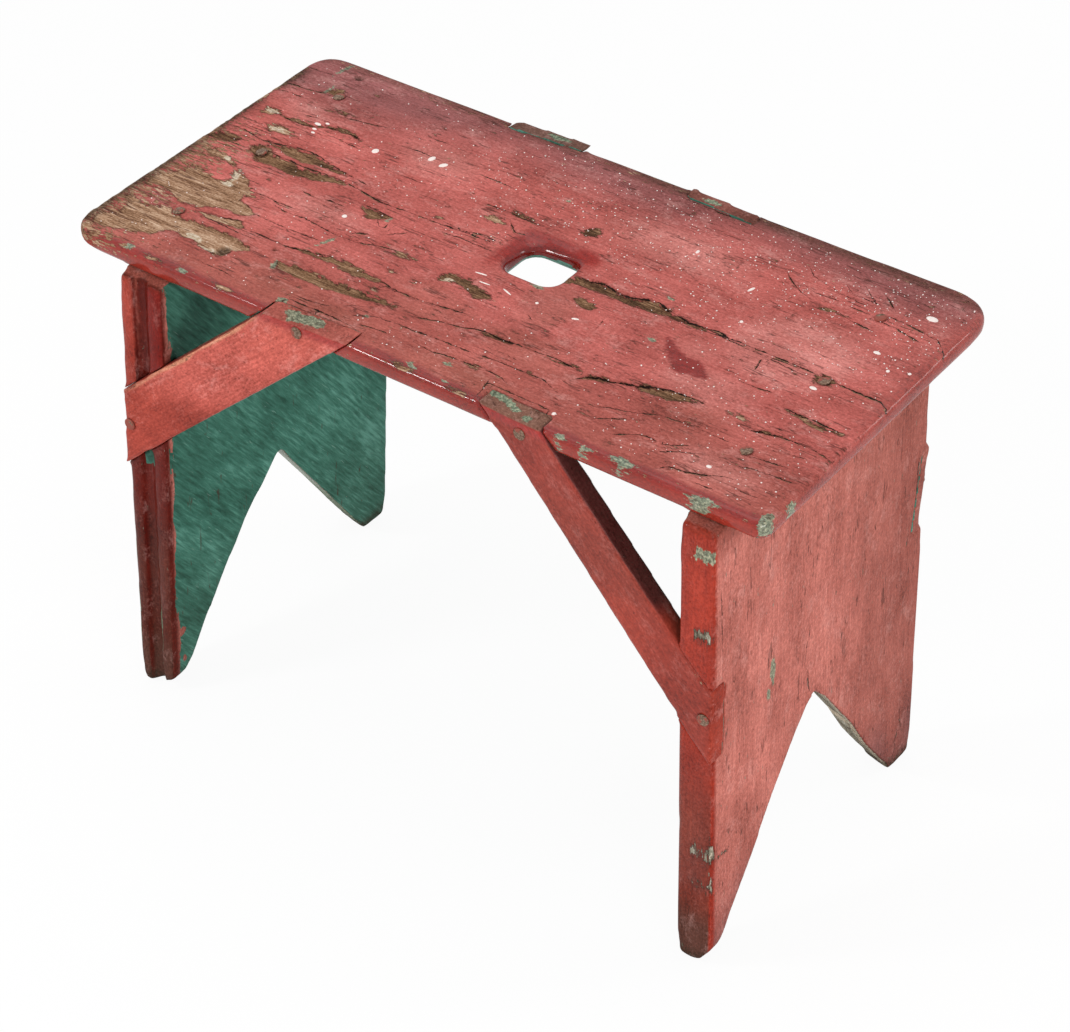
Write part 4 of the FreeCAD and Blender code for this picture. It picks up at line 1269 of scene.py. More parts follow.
@dataclass
class EndBoard:
    """One end board with its V cut; its grain runs up it."""

    node: str
    inward: int
    front_red: Rgb
    foot_red: Rgb
    seed: int
    cell: float = 1.7
    v_top: float = 149.0
    v_front: float = -4.0
    v_back: float = 222.0

    def build(self, groups: FinishGroups) -> bpy.types.Object:
        """Wear the board down, paint it and make its piece.

        Args:
            groups: The shared node groups.

        Returns:
            The board's piece.
        """
        board = Surface(self.node, self.cell, (188, 109, 97))
        hills = Hills(self.seed)
        x, y, z = board.start.T
        facing_in = board.normal[:, 0] * self.inward
        facing_front = ease(-board.normal[:, 1], 0.35, 0.75)
        in_v = (np.abs(board.normal[:, 0]) < 0.6) & (z > 1) & (z < self.v_top)
        in_v &= (y > self.v_front) & (y < self.v_back)
        in_v &= (board.normal[:, 2] < -0.2) | (np.abs(board.normal[:, 1]) < 0.9)

        # Shape: thick paint on the arrises, worn feet and a worn top corner in front
        foot = ease(z, 24, 4)
        board.soften(np.full(board.count, 1.0), 5)
        board.soften(np.clip(foot * 0.8 + ease(np.hypot(y + 10, z - BOARD_TOP), 20, 9), 0, 1), 16)
        board.soften(ease(y, 6, -2), 6)
        wave = hills.waves(board.start, (40, 34, 60), (12, 10, 16))
        grain = hills.at(board.start, (9, 2.2, 40))
        foot_wear = foot * 0.3 * (1 + hills.at(board.start, (5, 5, 5)))
        board.push(-0.1 * (1.5 + wave) - 0.06 * (1 + grain) - foot_wear)

        # Colours: faded low down and at the back, greyed near the floor, and painted shade under the seat's
        # overhang
        tint = board.tint
        stain = hills.share(board.start, (60, 30, 50))
        tint.lay((158, 86, 76), 0.75 * ease(z, 130, 40) * (0.6 + 0.4 * stain))
        tint.lay((156, 86, 75), 0.85 * ease(y, 120, 200))
        tint.lay((120, 84, 84), 0.75 * ease(z, 75, 15) * ease(stain, 0.2, 0.7) * (1 - facing_front))
        # Painted shade: the seat's overhang darkens the board's top
        tint.lay((150, 74, 62), 0.8 * ease(z, 318, 345))

        # The front edge keeps its strong red; on the left board it is darkest beyond the groove
        tint.lay(self.front_red, ease(facing_front + ease(y, -3, -9), 0.3, 0.9))
        tint.lay(self.foot_red, facing_front * ease(z, 190, 110))
        if self.inward > 0:
            from_face = self._from_left_face(x, z)
            tint.lay((156, 58, 44), facing_front * ease(from_face, 14, 10) * ease(z, 200, 290))
            tint.lay((122, 24, 15), facing_front * ease(from_face, 20, 24) * ease(z, 200, 290))
        tint.lay((96, 60, 51), 0.9 * facing_front * ease(z, 62, 30))

        # Older green inside, up to a ragged margin along the front, and bare wood in the V cut
        ragged = hills.at(board.start, (8, 4, 20)) * 2.5 + hills.at(board.start, (30, 30, 40)) * 3.0
        streak = 8 * ease(hills.at(board.start, (30, 9, 13)), 0.25, 0.8) * ease(z, 165, 130)
        margin = y + 4.5 + ragged - streak
        inner_face = facing_in > 0.45
        if self.inward > 0:
            inner_face &= (y > 0) | (self._from_left_face(x, z) > 25)
        board.fields["green"] = np.where(inner_face, np.clip(margin, OUTSIDE, 8), OUTSIDE)
        board.fields["bare"] = np.where(in_v, 1.6, OUTSIDE)
        board.fields["gloss"] = facing_front * ease(z, 40, 90) * (0.5 if self.inward > 0 else 0.8)
        self._extra_marks(board, hills)
        # Darker at the floor, at the feet, low on the front edge and low on the inner face; the band just
        # under the seat is painted shade
        board.fields["dirt_and_shade"] = np.clip(
            0.75 * ease(z, 16, 3) + 0.3 * foot + 0.35 * ease(z, 341, BOARD_TOP)
            + 0.2 * facing_front * ease(z, 60, 25)
            + 0.3 * ease(facing_in, 0.5, 0.9) * ease(z, 150, 20), 0, 1
        ) * 0.9
        front_arris = facing_front * ease(np.abs(board.normal[:, 1]), 0.98, 0.9)
        outer_wear = 0.16 * ease(facing_in, -0.5, -0.9)
        board.fields["wear"] = np.clip(outer_wear + 0.35 * foot + 0.22 * front_arris, 0, 1)
        piece = board.finish(np.array(((0, 0, 1), (0, 1, 0), (1, 0, 0))))
        finish = WornPaint(
            "worn_" + self.node + "_paint", wood_grey=0.75, chip_amount=0.06, hairline_amount=0.4,
            bloom_and_sheen=0.22, relief=1.4, specular=0.05, varnish=0.3,
        )
        piece.data.materials.append(finish.build(groups))
        return piece

    def _from_left_face(self, x: np.ndarray, z: np.ndarray) -> np.ndarray:
        """Return how far points lie in from the left board's outer face, which splays out downwards."""
        return x - LEFT_FACE_TOP + LEFT_SPLAY * (1 - z / BOARD_TOP)

    def _extra_marks(self, board: Surface, hills: Hills) -> None:
        """Mark the old paint, the chips and the cracks that only this board has.

        Args:
            board: The board's surface.
            hills: Its hills.
        """
        face = hills.warp(board.start[:, 1:], 6, 0.8)
        x, y, z = board.start.T
        if self.inward < 0:
            outer = board.normal[:, 0] > 0.4
            outer_edge = RIGHT_FACE_FOOT - RIGHT_SPLAY * z / BOARD_TOP - 6
            arris = (y < -8) & (x > outer_edge - 3 * hills.at(board.start, (5, 5, 9)))
            marks = deepest(face, (
                Spot((56, 199), (3, 11)), Spot((-10, 330), (2.4, 5)), Spot((52, 184), (2, 4)),
            ))
            chips = deepest(face, (
                Spot((-10, 98), (2.6, 8)), Spot((-11, 70), (1.6, 4)), Spot((-11, 270), (1.2, 3)),
                Spot((2, 90), (5, 1.4)),
            ))
            bare = board.fields["bare"]
            board.fields["old_paint"] = np.where(outer | arris, marks, OUTSIDE)
            bare = np.where(outer | arris, np.maximum(bare, chips), bare)
            board.fields["bare"] = bare
            tan = (Spot((160, 80), (7, 9)),)
            board.fields["filler"] = np.where(bare > 1, deepest(face, tan) * ease(x, 500, 490), OUTSIDE)
            cracks = (
                Split(((211, 15), (213, 32)), 1.2), Split(((96, 172), (100, 150)), 0.9),
                Split(((92, 178), (98, 205)), 0.6), Split(((-2, 300), (0, 250)), 0.6),
                Split(((226, 195), (222, 226), (224, 258)), 1.0),
            )
            board.mark_splits(face, cracks, ease(board.normal[:, 0], 0.3, 0.6))
        else:
            outer = (board.normal[:, 0] < -0.3) & (y < 0)
            pale = deepest(board.start[:, 1:], (Spot((-12, 62), (7, 26)), Spot((-11, 120), (3, 10))))
            groove = deepest(face, (
                Spot((-9, 206), (5, 12)), Spot((-12, 90), (3, 16)), Spot((-14, 30), (3, 14)),
            ))
            board.fields["old_paint"] = np.where(outer, pale, OUTSIDE)
            deep = ease(y, -8, -6) * (y < 0)
            board.fields["green"] = np.where((deep > 0.3) & (groove > 0), 2.0, board.fields["green"])
            # The back slope of the V cut keeps old paint instead of bare wood
            back_slope = (board.fields["bare"] > 1) & (y > 108)
            board.fields["old_paint"] = np.where(back_slope, 2.0, board.fields["old_paint"])
            board.fields["bare"] = np.where(back_slope, OUTSIDE, board.fields["bare"])


@dataclass
class BraceBoard:
    """One diagonal brace let into the seat's edge and an end board's edge."""

    node: str
    top: Vec
    foot: Vec
    side: int
    colour: Rgb
    end_colour: Rgb
    old_paint: tuple[Patch | Spot, ...]
    seed: int
    nail_depth: float = 0.5
    nail_length: float = 48.0
    cell: float = 1.25

    def build(self, groups: FinishGroups) -> bpy.types.Object:
        """Wear the brace down, paint it and make its piece.

        Args:
            groups: The shared node groups.

        Returns:
            The brace's piece.
        """
        board = Surface(self.node, self.cell, self.colour)
        hills = Hills(self.seed)
        z = board.start[:, 2]
        along, across, out = self._directions()
        turned = (board.start - np.array(self.top)) @ np.array((along, across, out)).T
        facing_out = board.normal @ out
        facing_up = board.normal @ (across if across[2] > 0 else -across)
        end_top = ease(z, 358.2, 359.2)
        foot = ease(np.linalg.norm(board.start - np.array(self.foot), axis=1), 34, 18)

        # Shape: softened all over, most of all at the foot
        board.soften(np.full(board.count, 1.0), 6)
        board.soften(foot, 30)
        wave = hills.waves(turned, (30, 16, 30), (10, 7, 12))
        board.push(-0.12 * (1.5 + wave) - 0.04 * (1 + hills.at(turned, (40, 2.4, 8))))

        # Colours: worn along the upper arris, redder at the foot and just under the seat
        tint = board.tint
        side_face = ease(facing_out, 0.75, 0.3)
        stain = hills.share(turned, (50, 18, 30))
        height = turned @ np.array((0, 1.0 if across[2] > 0 else -1.0, 0))
        edge = height - np.max(height[np.abs(facing_out - 1) < 0.1])
        worn_arris = ease(edge + 1.2 * hills.at(turned, (14, 5, 5)), -2.6, -0.6) * ease(facing_out, 0.2, 0.6)
        front = self.side == FRONT
        if front and "left" in self.node:
            tint.lay((176, 80, 66), 0.6 * stain)
            tint.lay((212, 150, 118), 0.75 * worn_arris)
            tint.lay((150, 60, 50), side_face * ease(facing_up, -0.3, 0.3))
        elif front:
            tint.lay((140, 50, 40), 0.75 * ease(z, 290, 345))
            tint.lay((88, 40, 38), side_face * ease(facing_up, -0.2, 0.3) * ease(z, 195, 215))
            tint.lay((182, 92, 82), 0.3 * ease(edge, -34, -37))
        foot_end = np.zeros(board.count)
        if "right" in self.node:
            foot_end = ease(board.normal[:, 0], 0.4, 0.8) * ease(z, 275, 262)
        if front:
            tint.lay((146, 50, 36), 0.8 * ease(z, 290, 250) * ease(facing_out, 0.0, 0.4))
        tint.lay((150, 56, 42) if front else (156, 88, 77), foot_end)
        tint.lay((152, 42, 38), 0.85 * ease(z, 351, 356) * ease(facing_out, 0.0, 0.4) * float(front))
        tint.lay(self.end_colour, end_top)

        # Older paint on the top end, green behind, then gloss, soot and wear
        flat = hills.warp(board.start[:, :2], 5, 0.8)
        on_end = deepest(flat, self.old_paint) * np.where(z > 358.5, 1, 3)
        board.fields["old_paint"] = np.where(z > 354, on_end, OUTSIDE)
        board.fields["green"] = np.where(facing_out < -0.5, 5.0, OUTSIDE)
        glossy = 0.25 + 0.5 * side_face + 0.6 * ease(z, 350, 356) if front else 0.1
        glossy = glossy + (0.35 if "front_right" in self.node else 0.0)
        board.fields["gloss"] = np.clip(glossy * np.ones(board.count), 0, 1) * (1 - end_top) * (1 - foot_end)
        board.fields["dirt_and_shade"] = (0.3 if front else 0.4) * end_top * ease(stain, 0.1, 0.6)
        board.fields["wear"] = 0.25 * end_top + 0.35 * worn_arris
        piece = board.finish(np.array((along, across, out)))
        finish = WornPaint(
            "worn_" + self.node + "_paint", wood_grey=0.1, chip_amount=0.04, hairline_amount=0.2,
            bloom_and_sheen=0.3, relief=0.55, specular=0.05, varnish=0.6,
        )
        piece.data.materials.append(finish.build(groups))
        return piece

    def _directions(self) -> tuple[np.ndarray, np.ndarray, np.ndarray]:
        """Work out the brace's directions.

        Returns:
            The directions along it, across it and out of its face.
        """
        along = np.array(self.foot) - np.array(self.top)
        along /= np.linalg.norm(along)
        out = np.array((0.0, float(self.side), 0.0))
        out -= along * (out @ along)
        out /= np.linalg.norm(out)
        return along, np.cross(out, along), out

    def nails(self, inset: float = 6.0) -> "NailSet":
        """Return the brace's two nails.

        Args:
            inset: How far the lower nail is in from the end board's outer face, in millimetres.

        Returns:
            The nails, driven level into the seat's and the end board's edges.
        """
        along = self._directions()[0]
        top = np.array(self.top) + along * (SEAT_THICKNESS * self.nail_depth / abs(along[2]))
        foot = np.array(self.foot) - along * (inset / abs(along[0]))
        into = (0.0, -float(self.side), 0.0)
        places = (NailPlace(tuple(top), into), NailPlace(tuple(foot), into))
        return NailSet(self.node + "_nails", self.nail_length, places)


@dataclass(frozen=True)
class NailFinish:
    """Rusted steel with leftovers of red paint."""

    name: str = "rusted_nail"

    def build(self) -> bpy.types.Material:
        """Make the material.

        Returns:
            The material.
        """
        material, tree = blank_material(self.name)
        place = tree.scaled(tree.add("ShaderNodeTexCoord").outputs["Object"], (1000, 1000, 1000))
        grit = tree.noise(tree.scaled(place, (0.9, 0.9, 0.9)), 4.0, 0.7)
        spread = tree.noise(tree.scaled(place, (0.12, 0.12, 0.12), (4, 7, 3)), 2.0)
        rust = tree.ramp(grit, (0.34, (58, 42, 32)), (0.5, (112, 86, 68)), (0.66, (158, 136, 118)))
        painted = tree.mix(tree.step(spread, 0.46, 0.54), rust, linear((142, 72, 60)))
        bump = tree.add("ShaderNodeBump", {"Strength": 0.9, "Distance": MM, "Height": tree.sum((grit, 0.5))})
        shader = tree.add("ShaderNodeBsdfPrincipled", {
            "Base Color": painted, "Metallic": 0.2, "Roughness": 0.6, "Specular IOR Level": 0.3,
            "Normal": bump.outputs[0],
        })
        tree.add("ShaderNodeOutputMaterial", {0: shader.outputs[0]})
        return material


@dataclass(frozen=True)
class DropFinish:
    """Dried white paint."""

    name: str = "white_drop"
    colour: Rgb = (230, 217, 211)

    def build(self) -> bpy.types.Material:
        """Make the material.

        Returns:
            The material.
        """
        material, tree = blank_material(self.name)
        shader = tree.add("ShaderNodeBsdfPrincipled", {"Base Color": linear(self.colour), "Roughness": 0.45})
        tree.add("ShaderNodeOutputMaterial", {0: shader.outputs[0]})
        return material


class ShapeTree:
    """Builds one Geometry Nodes tree that sets shapes on points."""

    def __init__(self, name: str, inputs: tuple[Socket, ...]) -> None:
        """Start a tree with named inputs after the geometry.

        Args:
            name: The tree's name.
            inputs: The inputs after the geometry.
        """
        self.tree = bpy.data.node_groups.new(name, "GeometryNodeTree")
        self.tree.is_modifier = True
        self.tree.interface.new_socket("Geometry", in_out="INPUT", socket_type="NodeSocketGeometry")
        for socket in inputs:
            self.tree.interface.new_socket(socket.name, in_out="INPUT", socket_type=socket.kind)
        self.tree.interface.new_socket("Geometry", in_out="OUTPUT", socket_type="NodeSocketGeometry")
        self.wiring = Wiring(self.tree)
        self.given = self.wiring.add("NodeGroupInput").outputs
        self.result = self.wiring.add("NodeGroupOutput")

    def moved(self, geometry: bpy.types.NodeSocket, height: bpy.types.NodeSocket) -> bpy.types.NodeSocket:
        """Return a shape moved up by a height."""
        up = self.wiring.add("ShaderNodeCombineXYZ", {"Z": height}).outputs[0]
        return self.wiring.add("GeometryNodeTransform", {"Geometry": geometry, "Translation": up}).outputs[0]

    def vector(self, name: str) -> bpy.types.NodeSocket:
        """Return a vector that the points carry."""
        node = self.wiring.add("GeometryNodeInputNamedAttribute", {"Name": name}, data_type="FLOAT_VECTOR")
        return node.outputs[0]

    def dress(self, instances: bpy.types.NodeSocket, material: bpy.types.Material) -> None:
        """Realise the instances, give them a material and end the tree.

        Args:
            instances: The shapes on their points.
            material: Their finish.
        """
        real = self.wiring.add("GeometryNodeRealizeInstances", {0: instances}).outputs[0]
        dressed = self.wiring.add("GeometryNodeSetMaterial", {"Geometry": real, "Material": material})
        self.wiring.feed(self.result.inputs[0], dressed.outputs[0])

    def make(self, base: bpy.types.Object, values: tuple[float | int, ...], name: str) -> bpy.types.Object:
        """Run the tree on an object and return the result as a plain mesh piece.

        Args:
            base: The object that the tree starts from; it is used up.
            values: One value for each named input after the geometry.
            name: The piece's name.

        Returns:
            The piece.
        """
        modifier = base.modifiers.new(name, "NODES")
        modifier.node_group = self.tree
        sockets = [item for item in self.tree.interface.items_tree if item.in_out == "INPUT"][1:]
        for socket, value in zip(sockets, values):
            modifier[socket.identifier] = value
        bpy.context.view_layer.update()
        evaluated = base.evaluated_get(bpy.context.evaluated_depsgraph_get())
        mesh = bpy.data.meshes.new_from_object(evaluated)
        base.modifiers.clear()
        used_up = base.data
        bpy.data.objects.remove(base)
        bpy.data.meshes.remove(used_up)
        mesh.name = name + "_mesh"
        piece = placed(name, mesh)
        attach(piece, "root")
        return piece


def point_cloud(name: str, places: np.ndarray, **vectors: np.ndarray) -> bpy.types.Object:
    """Make an object of loose points that carry vectors.

    Args:
        name: The object's name.
        places: The points in metres, one a row.
        vectors: Named vectors, one a row.

    Returns:
        The object.
    """
    mesh = bpy.data.meshes.new(name)
    mesh.from_pydata([tuple(place) for place in places], [], [])
    for key, rows in vectors.items():
        attribute = mesh.attributes.new(key, "FLOAT_VECTOR", "POINT")
        attribute.data.foreach_set("vector", np.asarray(rows, np.float32).ravel())
    return placed(name, mesh)


@dataclass(frozen=True)
class NailPlace:
    """Where a nail's head meets the wood, in bench millimetres, and the way its point goes."""

    head: Vec
    drive: Vec


@dataclass
class NailSet:
    """The wire nails of one CAD node, set on points; lengths in millimetres."""

    node: str
    length: float
    places: tuple[NailPlace, ...]
    head_radius: float = 4.1
    head_thickness: float = 1.3
    head_stand: float = 0.6
    shank_radius: float = 1.8
    point_length: float = 4.0
    head_sides: int = 28
    shank_sides: int = 16

    def _tree(self, material: bpy.types.Material) -> ShapeTree:
        """Wire the tree that sets a nail on every point.

        Args:
            material: The nails' finish.

        Returns:
            The tree.
        """
        names = ("Head Radius", "Head Thickness", "Head Stand", "Shank Radius", "Length", "Point Length")
        shape = ShapeTree("wire_nails", tuple(Socket(name) for name in names))
        wiring, size = shape.wiring, shape.given
        rim = wiring.math("MULTIPLY", size["Head Thickness"], 0.5)
        plate = wiring.add("GeometryNodeMeshCylinder", {
            "Vertices": self.head_sides, "Radius": size["Head Radius"], "Depth": rim,
        })
        crown = wiring.add("GeometryNodeMeshCone", {
            "Vertices": self.head_sides, "Radius Bottom": size["Head Radius"],
            "Radius Top": wiring.math("MULTIPLY", size["Head Radius"], 0.82), "Depth": rim,
        })
        run = wiring.math("SUBTRACT", wiring.math("SUBTRACT", size["Length"], size["Point Length"]), rim)
        shank = wiring.add("GeometryNodeMeshCylinder", {
            "Vertices": self.shank_sides, "Radius": size["Shank Radius"], "Depth": run,
        })
        point = wiring.add("GeometryNodeMeshCone", {
            "Vertices": self.shank_sides, "Radius Top": size["Shank Radius"], "Radius Bottom": 0.0,
            "Depth": size["Point Length"],
        })
        top = size["Head Stand"]
        half_run = wiring.math("MULTIPLY", run, 0.5)
        parts = wiring.add("GeometryNodeJoinGeometry")
        for part, height in (
            (crown, wiring.math("SUBTRACT", top, rim)),
            (plate, wiring.math("SUBTRACT", top, wiring.math("MULTIPLY", rim, 1.5))),
            (shank, wiring.math("SUBTRACT", wiring.math("SUBTRACT", top, rim), half_run)),
            (point, wiring.math("SUBTRACT", top, size["Length"])),
        ):
            wiring.feed(parts.inputs[0], shape.moved(part.outputs["Mesh"], height))
        nails = wiring.add("GeometryNodeInstanceOnPoints", {
            "Points": size["Geometry"], "Instance": parts.outputs[0], "Rotation": shape.vector("aim"),
        })
        shape.dress(nails.outputs[0], material)
        return shape

    def build(self, material: bpy.types.Material) -> bpy.types.Object:
        """Set the nails and make their piece.

        Args:
            material: The nails' finish.

        Returns:
            The piece that replaces the CAD node.
        """
        heads = row_place(np.array([place.head for place in self.places]))
        aims = [Vector(place.drive).to_track_quat("-Z", "Y").to_euler() for place in self.places]
        points = point_cloud(self.node + "_points", heads, aim=np.array(aims))
        sizes = (
            self.head_radius, self.head_thickness, self.head_stand,
            self.shank_radius, self.length, self.point_length,
        )
        piece = self._tree(material).make(points, tuple(size * MM for size in sizes), self.node + "_made")
        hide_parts(self.node)
        return piece


@dataclass
class WhiteDrops:
    """Drops and fine spatter of white paint on the seat's top; lengths in millimetres."""

    drops: tuple[Spot, ...] = (
        Spot((503, 227), (5.5, 3.3)), Spot((144, 194), (2.6, 4.2), -10), Spot((155, 192), (2.6, 4.4), -35),
        Spot((108, 180), (3.2, 3.8)), Spot((56, 184), (3.6, 1.8)), Spot((61, 188), (2.2, 1.3)),
        Spot((58, 178), (2.4, 1.4)), Spot((60, 174), (2.2, 1.3)), Spot((140, 108.5), (2.4, 2.4)),
        Spot((326, 102), (3.4, 1.2), 20), Spot((297, 102), (1.5, 1.5)), Spot((346, 205), (1.5, 2.6)),
        Spot((396, 190), (1.4, 4.2), -15), Spot((521, 171), (1.6, 1.6)), Spot((509, 166), (1.6, 1.8)),
        Spot((410, 158), (1.6, 1.6)), Spot((474, 28), (2.4, 1.8)), Spot((372, 17), (1.8, 2.2)),
        Spot((494, 178), (3.4, 2)), Spot((250, 107.5), (6, 0.9), 8), Spot((258, 100.5), (6, 0.8), 4),
        Spot((275, 101), (6, 0.9), -20), Spot((482, 126), (3.6, 2)),
    )
    drop_share: float = 0.75
    sunk: float = 0.25
    spatter_count: int = 1500
    roundness: int = 2
    scale: float = 1.0
    seed: int = 5

    def _spatter(self) -> tuple[np.ndarray, np.ndarray]:
        """Scatter the fine drops.

        Returns:
            Their places on the seat and their half lengths.
        """
        chance = np.random.default_rng(self.seed)
        flat = chance.uniform((16, 12), (522, 252), (self.spatter_count * 5, 2))
        x, y = flat.T
        crowd = 0.12 + 0.5 * ease(y, 110, 220) * ease(x, 90, 260) + 0.22 * ease(x, 330, 460)
        in_hole = np.all(np.abs(flat - (273, 141)) < (34, 30), axis=1)
        kept = flat[(chance.uniform(size=len(flat)) < crowd) & ~in_hole][: self.spatter_count]
        size = 0.26 + 0.34 * chance.uniform(size=(len(kept), 1)) ** 3
        return kept, np.hstack((size, size))

    def build(self, material: bpy.types.Material) -> bpy.types.Object:
        """Set every drop and make their piece.

        Args:
            material: The drops' finish.

        Returns:
            The piece.
        """
        fine, fine_half = self._spatter()
        flat = np.vstack((np.array([drop.place for drop in self.drops]), fine))
        half = np.vstack((self.drop_share * np.array([drop.half for drop in self.drops]), fine_half))
        turn = np.radians([drop.turn for drop in self.drops] + [0.0] * len(fine))
        places = row_place(np.column_stack((flat, np.full(len(flat), SEAT_TOP - self.sunk))))
        height = np.clip(half.min(axis=1) * 0.5, 0.25, 0.7)
        points = point_cloud(
            "white_drop_points", places,
            aim=np.column_stack((0 * turn, 0 * turn, turn)), size=np.column_stack((half, height)) * MM,
        )
        shape = ShapeTree("white_drops", (Socket("Roundness", "NodeSocketInt"), Socket("Scale")))
        wiring = shape.wiring
        round_shape = {"Radius": 1.0, "Subdivisions": shape.given["Roundness"]}
        ball = wiring.add("GeometryNodeMeshIcoSphere", round_shape)
        sizes = {0: shape.vector("size"), 3: shape.given["Scale"]}
        size = wiring.add("ShaderNodeVectorMath", sizes, operation="SCALE")
        drops = wiring.add("GeometryNodeInstanceOnPoints", {
            "Points": shape.given["Geometry"], "Instance": ball.outputs[0],
            "Rotation": shape.vector("aim"), "Scale": size.outputs[0],
        })
        shape.dress(drops.outputs[0], material)
        piece = shape.make(points, (self.roundness, self.scale), "white_drops")
        return piece


@dataclass(frozen=True)
class PhotoView:
    """The camera, as found from the bench's edges; lengths in millimetres, angles in degrees."""

    azimuth: float = 37.077
    elevation: float = 38.807
    roll: float = -1.017
    distance: float = 2137.19
    focal_pixels: float = 3251.24
    slide: tuple[float, float] = (-8.283, -24.78)
    aim: Vec = (265.0, 130.0, 180.0)
    picture_width: int = 1070

    def build(self) -> None:
        """Make the scene's camera."""
        angles = (self.azimuth, self.elevation, self.roll)
        azimuth, elevation, roll = (math.radians(value) for value in angles)
        level = math.cos(elevation)
        back = Vector((math.sin(azimuth) * level, -math.cos(azimuth) * level, math.sin(elevation)))
        right = (-back).cross(Vector((0, 0, 1))).normalized()
        up = right.cross(-back)
        turned_right = right * math.cos(roll) + up * math.sin(roll)
        turned_up = up * math.cos(roll) - right * math.sin(roll)
        per_pixel = self.distance / self.focal_pixels
        place = Vector(self.aim) + back * self.distance
        place += (turned_up * self.slide[1] - turned_right * self.slide[0]) * per_pixel
        data = bpy.data.cameras.new("photo_view")
        data.sensor_fit = "HORIZONTAL"
        data.sensor_width = 36.0
        data.lens = self.focal_pixels * data.sensor_width / self.picture_width
        data.clip_end = 50.0
        camera = placed("photo_view", data)
        turn = Matrix((turned_right, turned_up, back)).transposed().to_4x4()
        camera.matrix_world = Matrix.Translation(Vector(row_place(np.array(place)))) @ turn
        bpy.context.scene.camera = camera


@dataclass(frozen=True)
class Lamp:
    """A square soft lamp, aimed at the bench; metres and watts."""

    name: str
    place: Vec
    size: float
    power: float

    def build(self) -> None:
        """Make the lamp."""
        light = bpy.data.lights.new(self.name, "AREA")
        light.energy = self.power
        light.size = self.size
        lamp = placed(self.name, light)
        aim = (Vector((0, 0, 0.25)) - Vector(self.place)).to_track_quat("-Z", "Y").to_matrix().to_4x4()
        lamp.matrix_world = Matrix.Translation(self.place) @ aim


@dataclass(frozen=True)
class Studio:
    """A pale floor, soft lamps and a white surround."""

    lamps: tuple[Lamp, ...] = (
        Lamp("overhead", (-0.2, 0.3, 1.9), 1.3, 6.0),
        Lamp("front_left", (-0.8, -1.05, 1.2), 0.26, 9.0),
        Lamp("back_right", (1.25, 1.1, 1.0), 0.45, 4.0),
        Lamp("front_right", (1.3, -0.9, 0.5), 0.6, 8.0),
    )
    sky_strength: float = 0.72
    floor_white: float = 0.93
    floor_half: float = 6.0

    def build(self) -> None:
        """Make the floor, the lamps and the world."""
        bpy.context.scene.view_settings.view_transform = "Standard"
        for lamp in self.lamps:
            lamp.build()
        self._floor()
        self._surround()

    def _floor(self) -> None:
        """Make a floor that shines white to the camera and keeps a faint shadow."""
        half = self.floor_half
        mesh = bpy.data.meshes.new("floor")
        square = [(-half, -half, 0), (half, -half, 0), (half, half, 0), (-half, half, 0)]
        mesh.from_pydata(square, [], [(0, 1, 2, 3)])
        floor = placed("floor", mesh)
        material, tree = blank_material("pale_floor")
        paper = tree.add("ShaderNodeBsdfDiffuse", {"Color": (0.85, 0.85, 0.85, 1.0)})
        glow = tree.add("ShaderNodeEmission", {"Color": (1, 1, 1, 1), "Strength": 1.0})
        seen = tree.add("ShaderNodeLightPath").outputs["Is Camera Ray"]
        share = tree.math("MULTIPLY", seen, self.floor_white)
        mixed = tree.add("ShaderNodeMixShader", {0: share, 1: paper.outputs[0], 2: glow.outputs[0]})
        tree.add("ShaderNodeOutputMaterial", {0: mixed.outputs[0]})
        mesh.materials.append(material)

    def _surround(self) -> None:
        """Make a white world that lights the bench evenly."""
        world = bpy.data.worlds.new("white_surround")
        bpy.context.scene.world = world
        world.use_nodes = True
        world.node_tree.nodes.clear()
        sky = Wiring(world.node_tree)
        path = sky.add("ShaderNodeLightPath").outputs
        mirrored = sky.math("MAXIMUM", path["Is Glossy Ray"], path["Is Transmission Ray"])
        bright = sky.math("MAXIMUM", path["Is Camera Ray"], mirrored)
        strength = sky.blend(bright, self.sky_strength, 1.0)
        background = sky.add("ShaderNodeBackground", {"Color": (1, 1, 1, 1), "Strength": strength})
        sky.add("ShaderNodeOutputWorld", {0: background.outputs[0]})


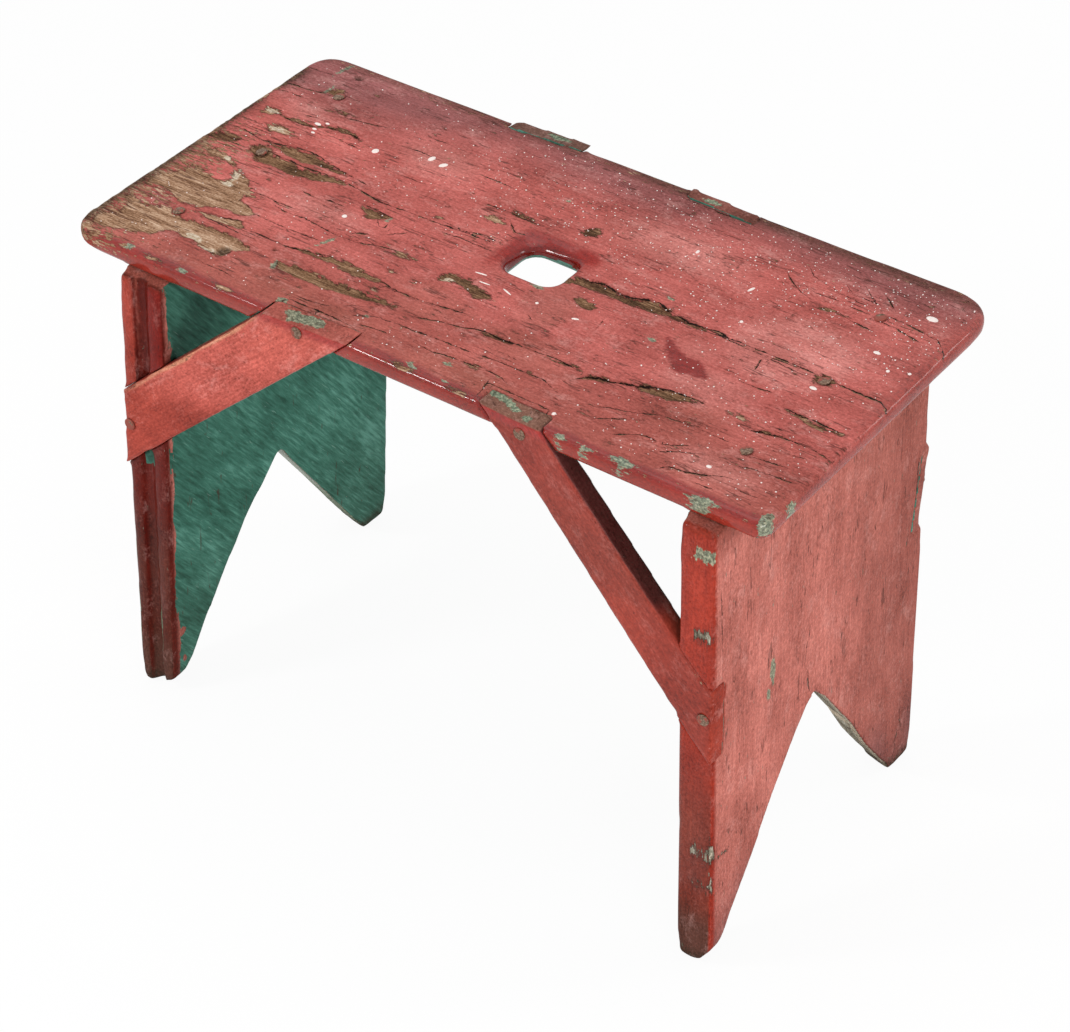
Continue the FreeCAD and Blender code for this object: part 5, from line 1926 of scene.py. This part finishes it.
@dataclass
class BucketBench:
    """The whole bench, built board by board."""

    groups: FinishGroups = field(default_factory=FinishGroups)
    seat: Seat = field(default_factory=Seat)
    ends: tuple[EndBoard, ...] = (
        EndBoard("left_end_board", 1, (96, 24, 15), (92, 40, 30), 21),
        EndBoard("right_end_board", -1, (150, 46, 30), (124, 51, 38), 22),
    )
    braces: tuple[BraceBoard, ...] = (
        BraceBoard(
            "front_left_brace", (197.9, -0.9, 360), (44.9, -14.8, 225), FRONT, (196, 95, 84), (170, 88, 78),
            (Patch((
                (174, 12), (178, 9), (185, 10), (192, 11), (200, 12), (205, 10), (206, 6), (203, 3), (195, 2),
                (190, 1), (183, -1), (180, 3), (176, 7),
            )),), seed=31,
        ),
        BraceBoard(
            "front_right_brace", (349.9, -0.1, 360), (506.4, -13.0, 201), FRONT, (143, 58, 45), (132, 92, 78),
            (
                Patch(((322, 18), (332, 17), (345, 13), (356, 8), (352, 5), (340, 9), (326, 12))),
                Spot((362, 4), (3, 3)),
            ), seed=32, nail_depth=0.75,
        ),
        BraceBoard(
            "back_left_brace", (192.5, 266.9, 360), (40.1, 235.0, 231), BACK, (150, 80, 72), (112, 78, 68),
            (Spot((197, 262), (9, 2.6)),), seed=33, nail_length=40.0,
        ),
        BraceBoard(
            "back_right_brace", (328, 262.9, 360), (504, 234.1, 226), BACK, (176, 100, 90), (130, 76, 67),
            (Spot((322, 257), (7, 2)),), seed=34, nail_length=40.0,
        ),
    )

    def seat_nails(self) -> list[NailSet]:
        """Place the nails that slant down through the seat into the end boards.

        Returns:
            The two sets of nails.
        """
        down = (0.2071, 0.0, -0.9783)
        spots = {
            "left_seat_nails": ((49.1, 52.4), (47.4, 136.4), (45.6, 218.96)),
            "right_seat_nails": ((482.99, 52.88), (483.31, 135.92), (476.39, 210.32)),
        }
        return [
            NailSet(node, 70.0, tuple(NailPlace((x, y, SEAT_TOP), down) for x, y in places))
            for node, places in spots.items()
        ]

    def build(self) -> None:
        """Build every piece."""
        steel, white = NailFinish().build(), DropFinish().build()
        pieces = [board.build(self.groups) for board in (self.seat, *self.ends, *self.braces)]
        nail_sets = self.seat_nails() + [brace.nails() for brace in self.braces]
        pieces += [nail_set.build(steel) for nail_set in nail_sets]
        pieces.append(WhiteDrops().build(white))
        for piece in pieces:
            log.info("%s: %d faces", piece.name, len(piece.data.polygons))


def corners(box: tuple[Vector, Vector]) -> list[list[float]]:
    """Return a box's two corners as plain lists."""
    return [[float(value) for value in corner] for corner in box]


def main() -> None:
    """Build the bench, the studio and the camera."""
    logging.basicConfig(level=logging.INFO, format="%(message)s")
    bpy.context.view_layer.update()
    PhotoView().build()
    BucketBench().build()
    Studio().build()


if __name__ == "__main__":
    main()
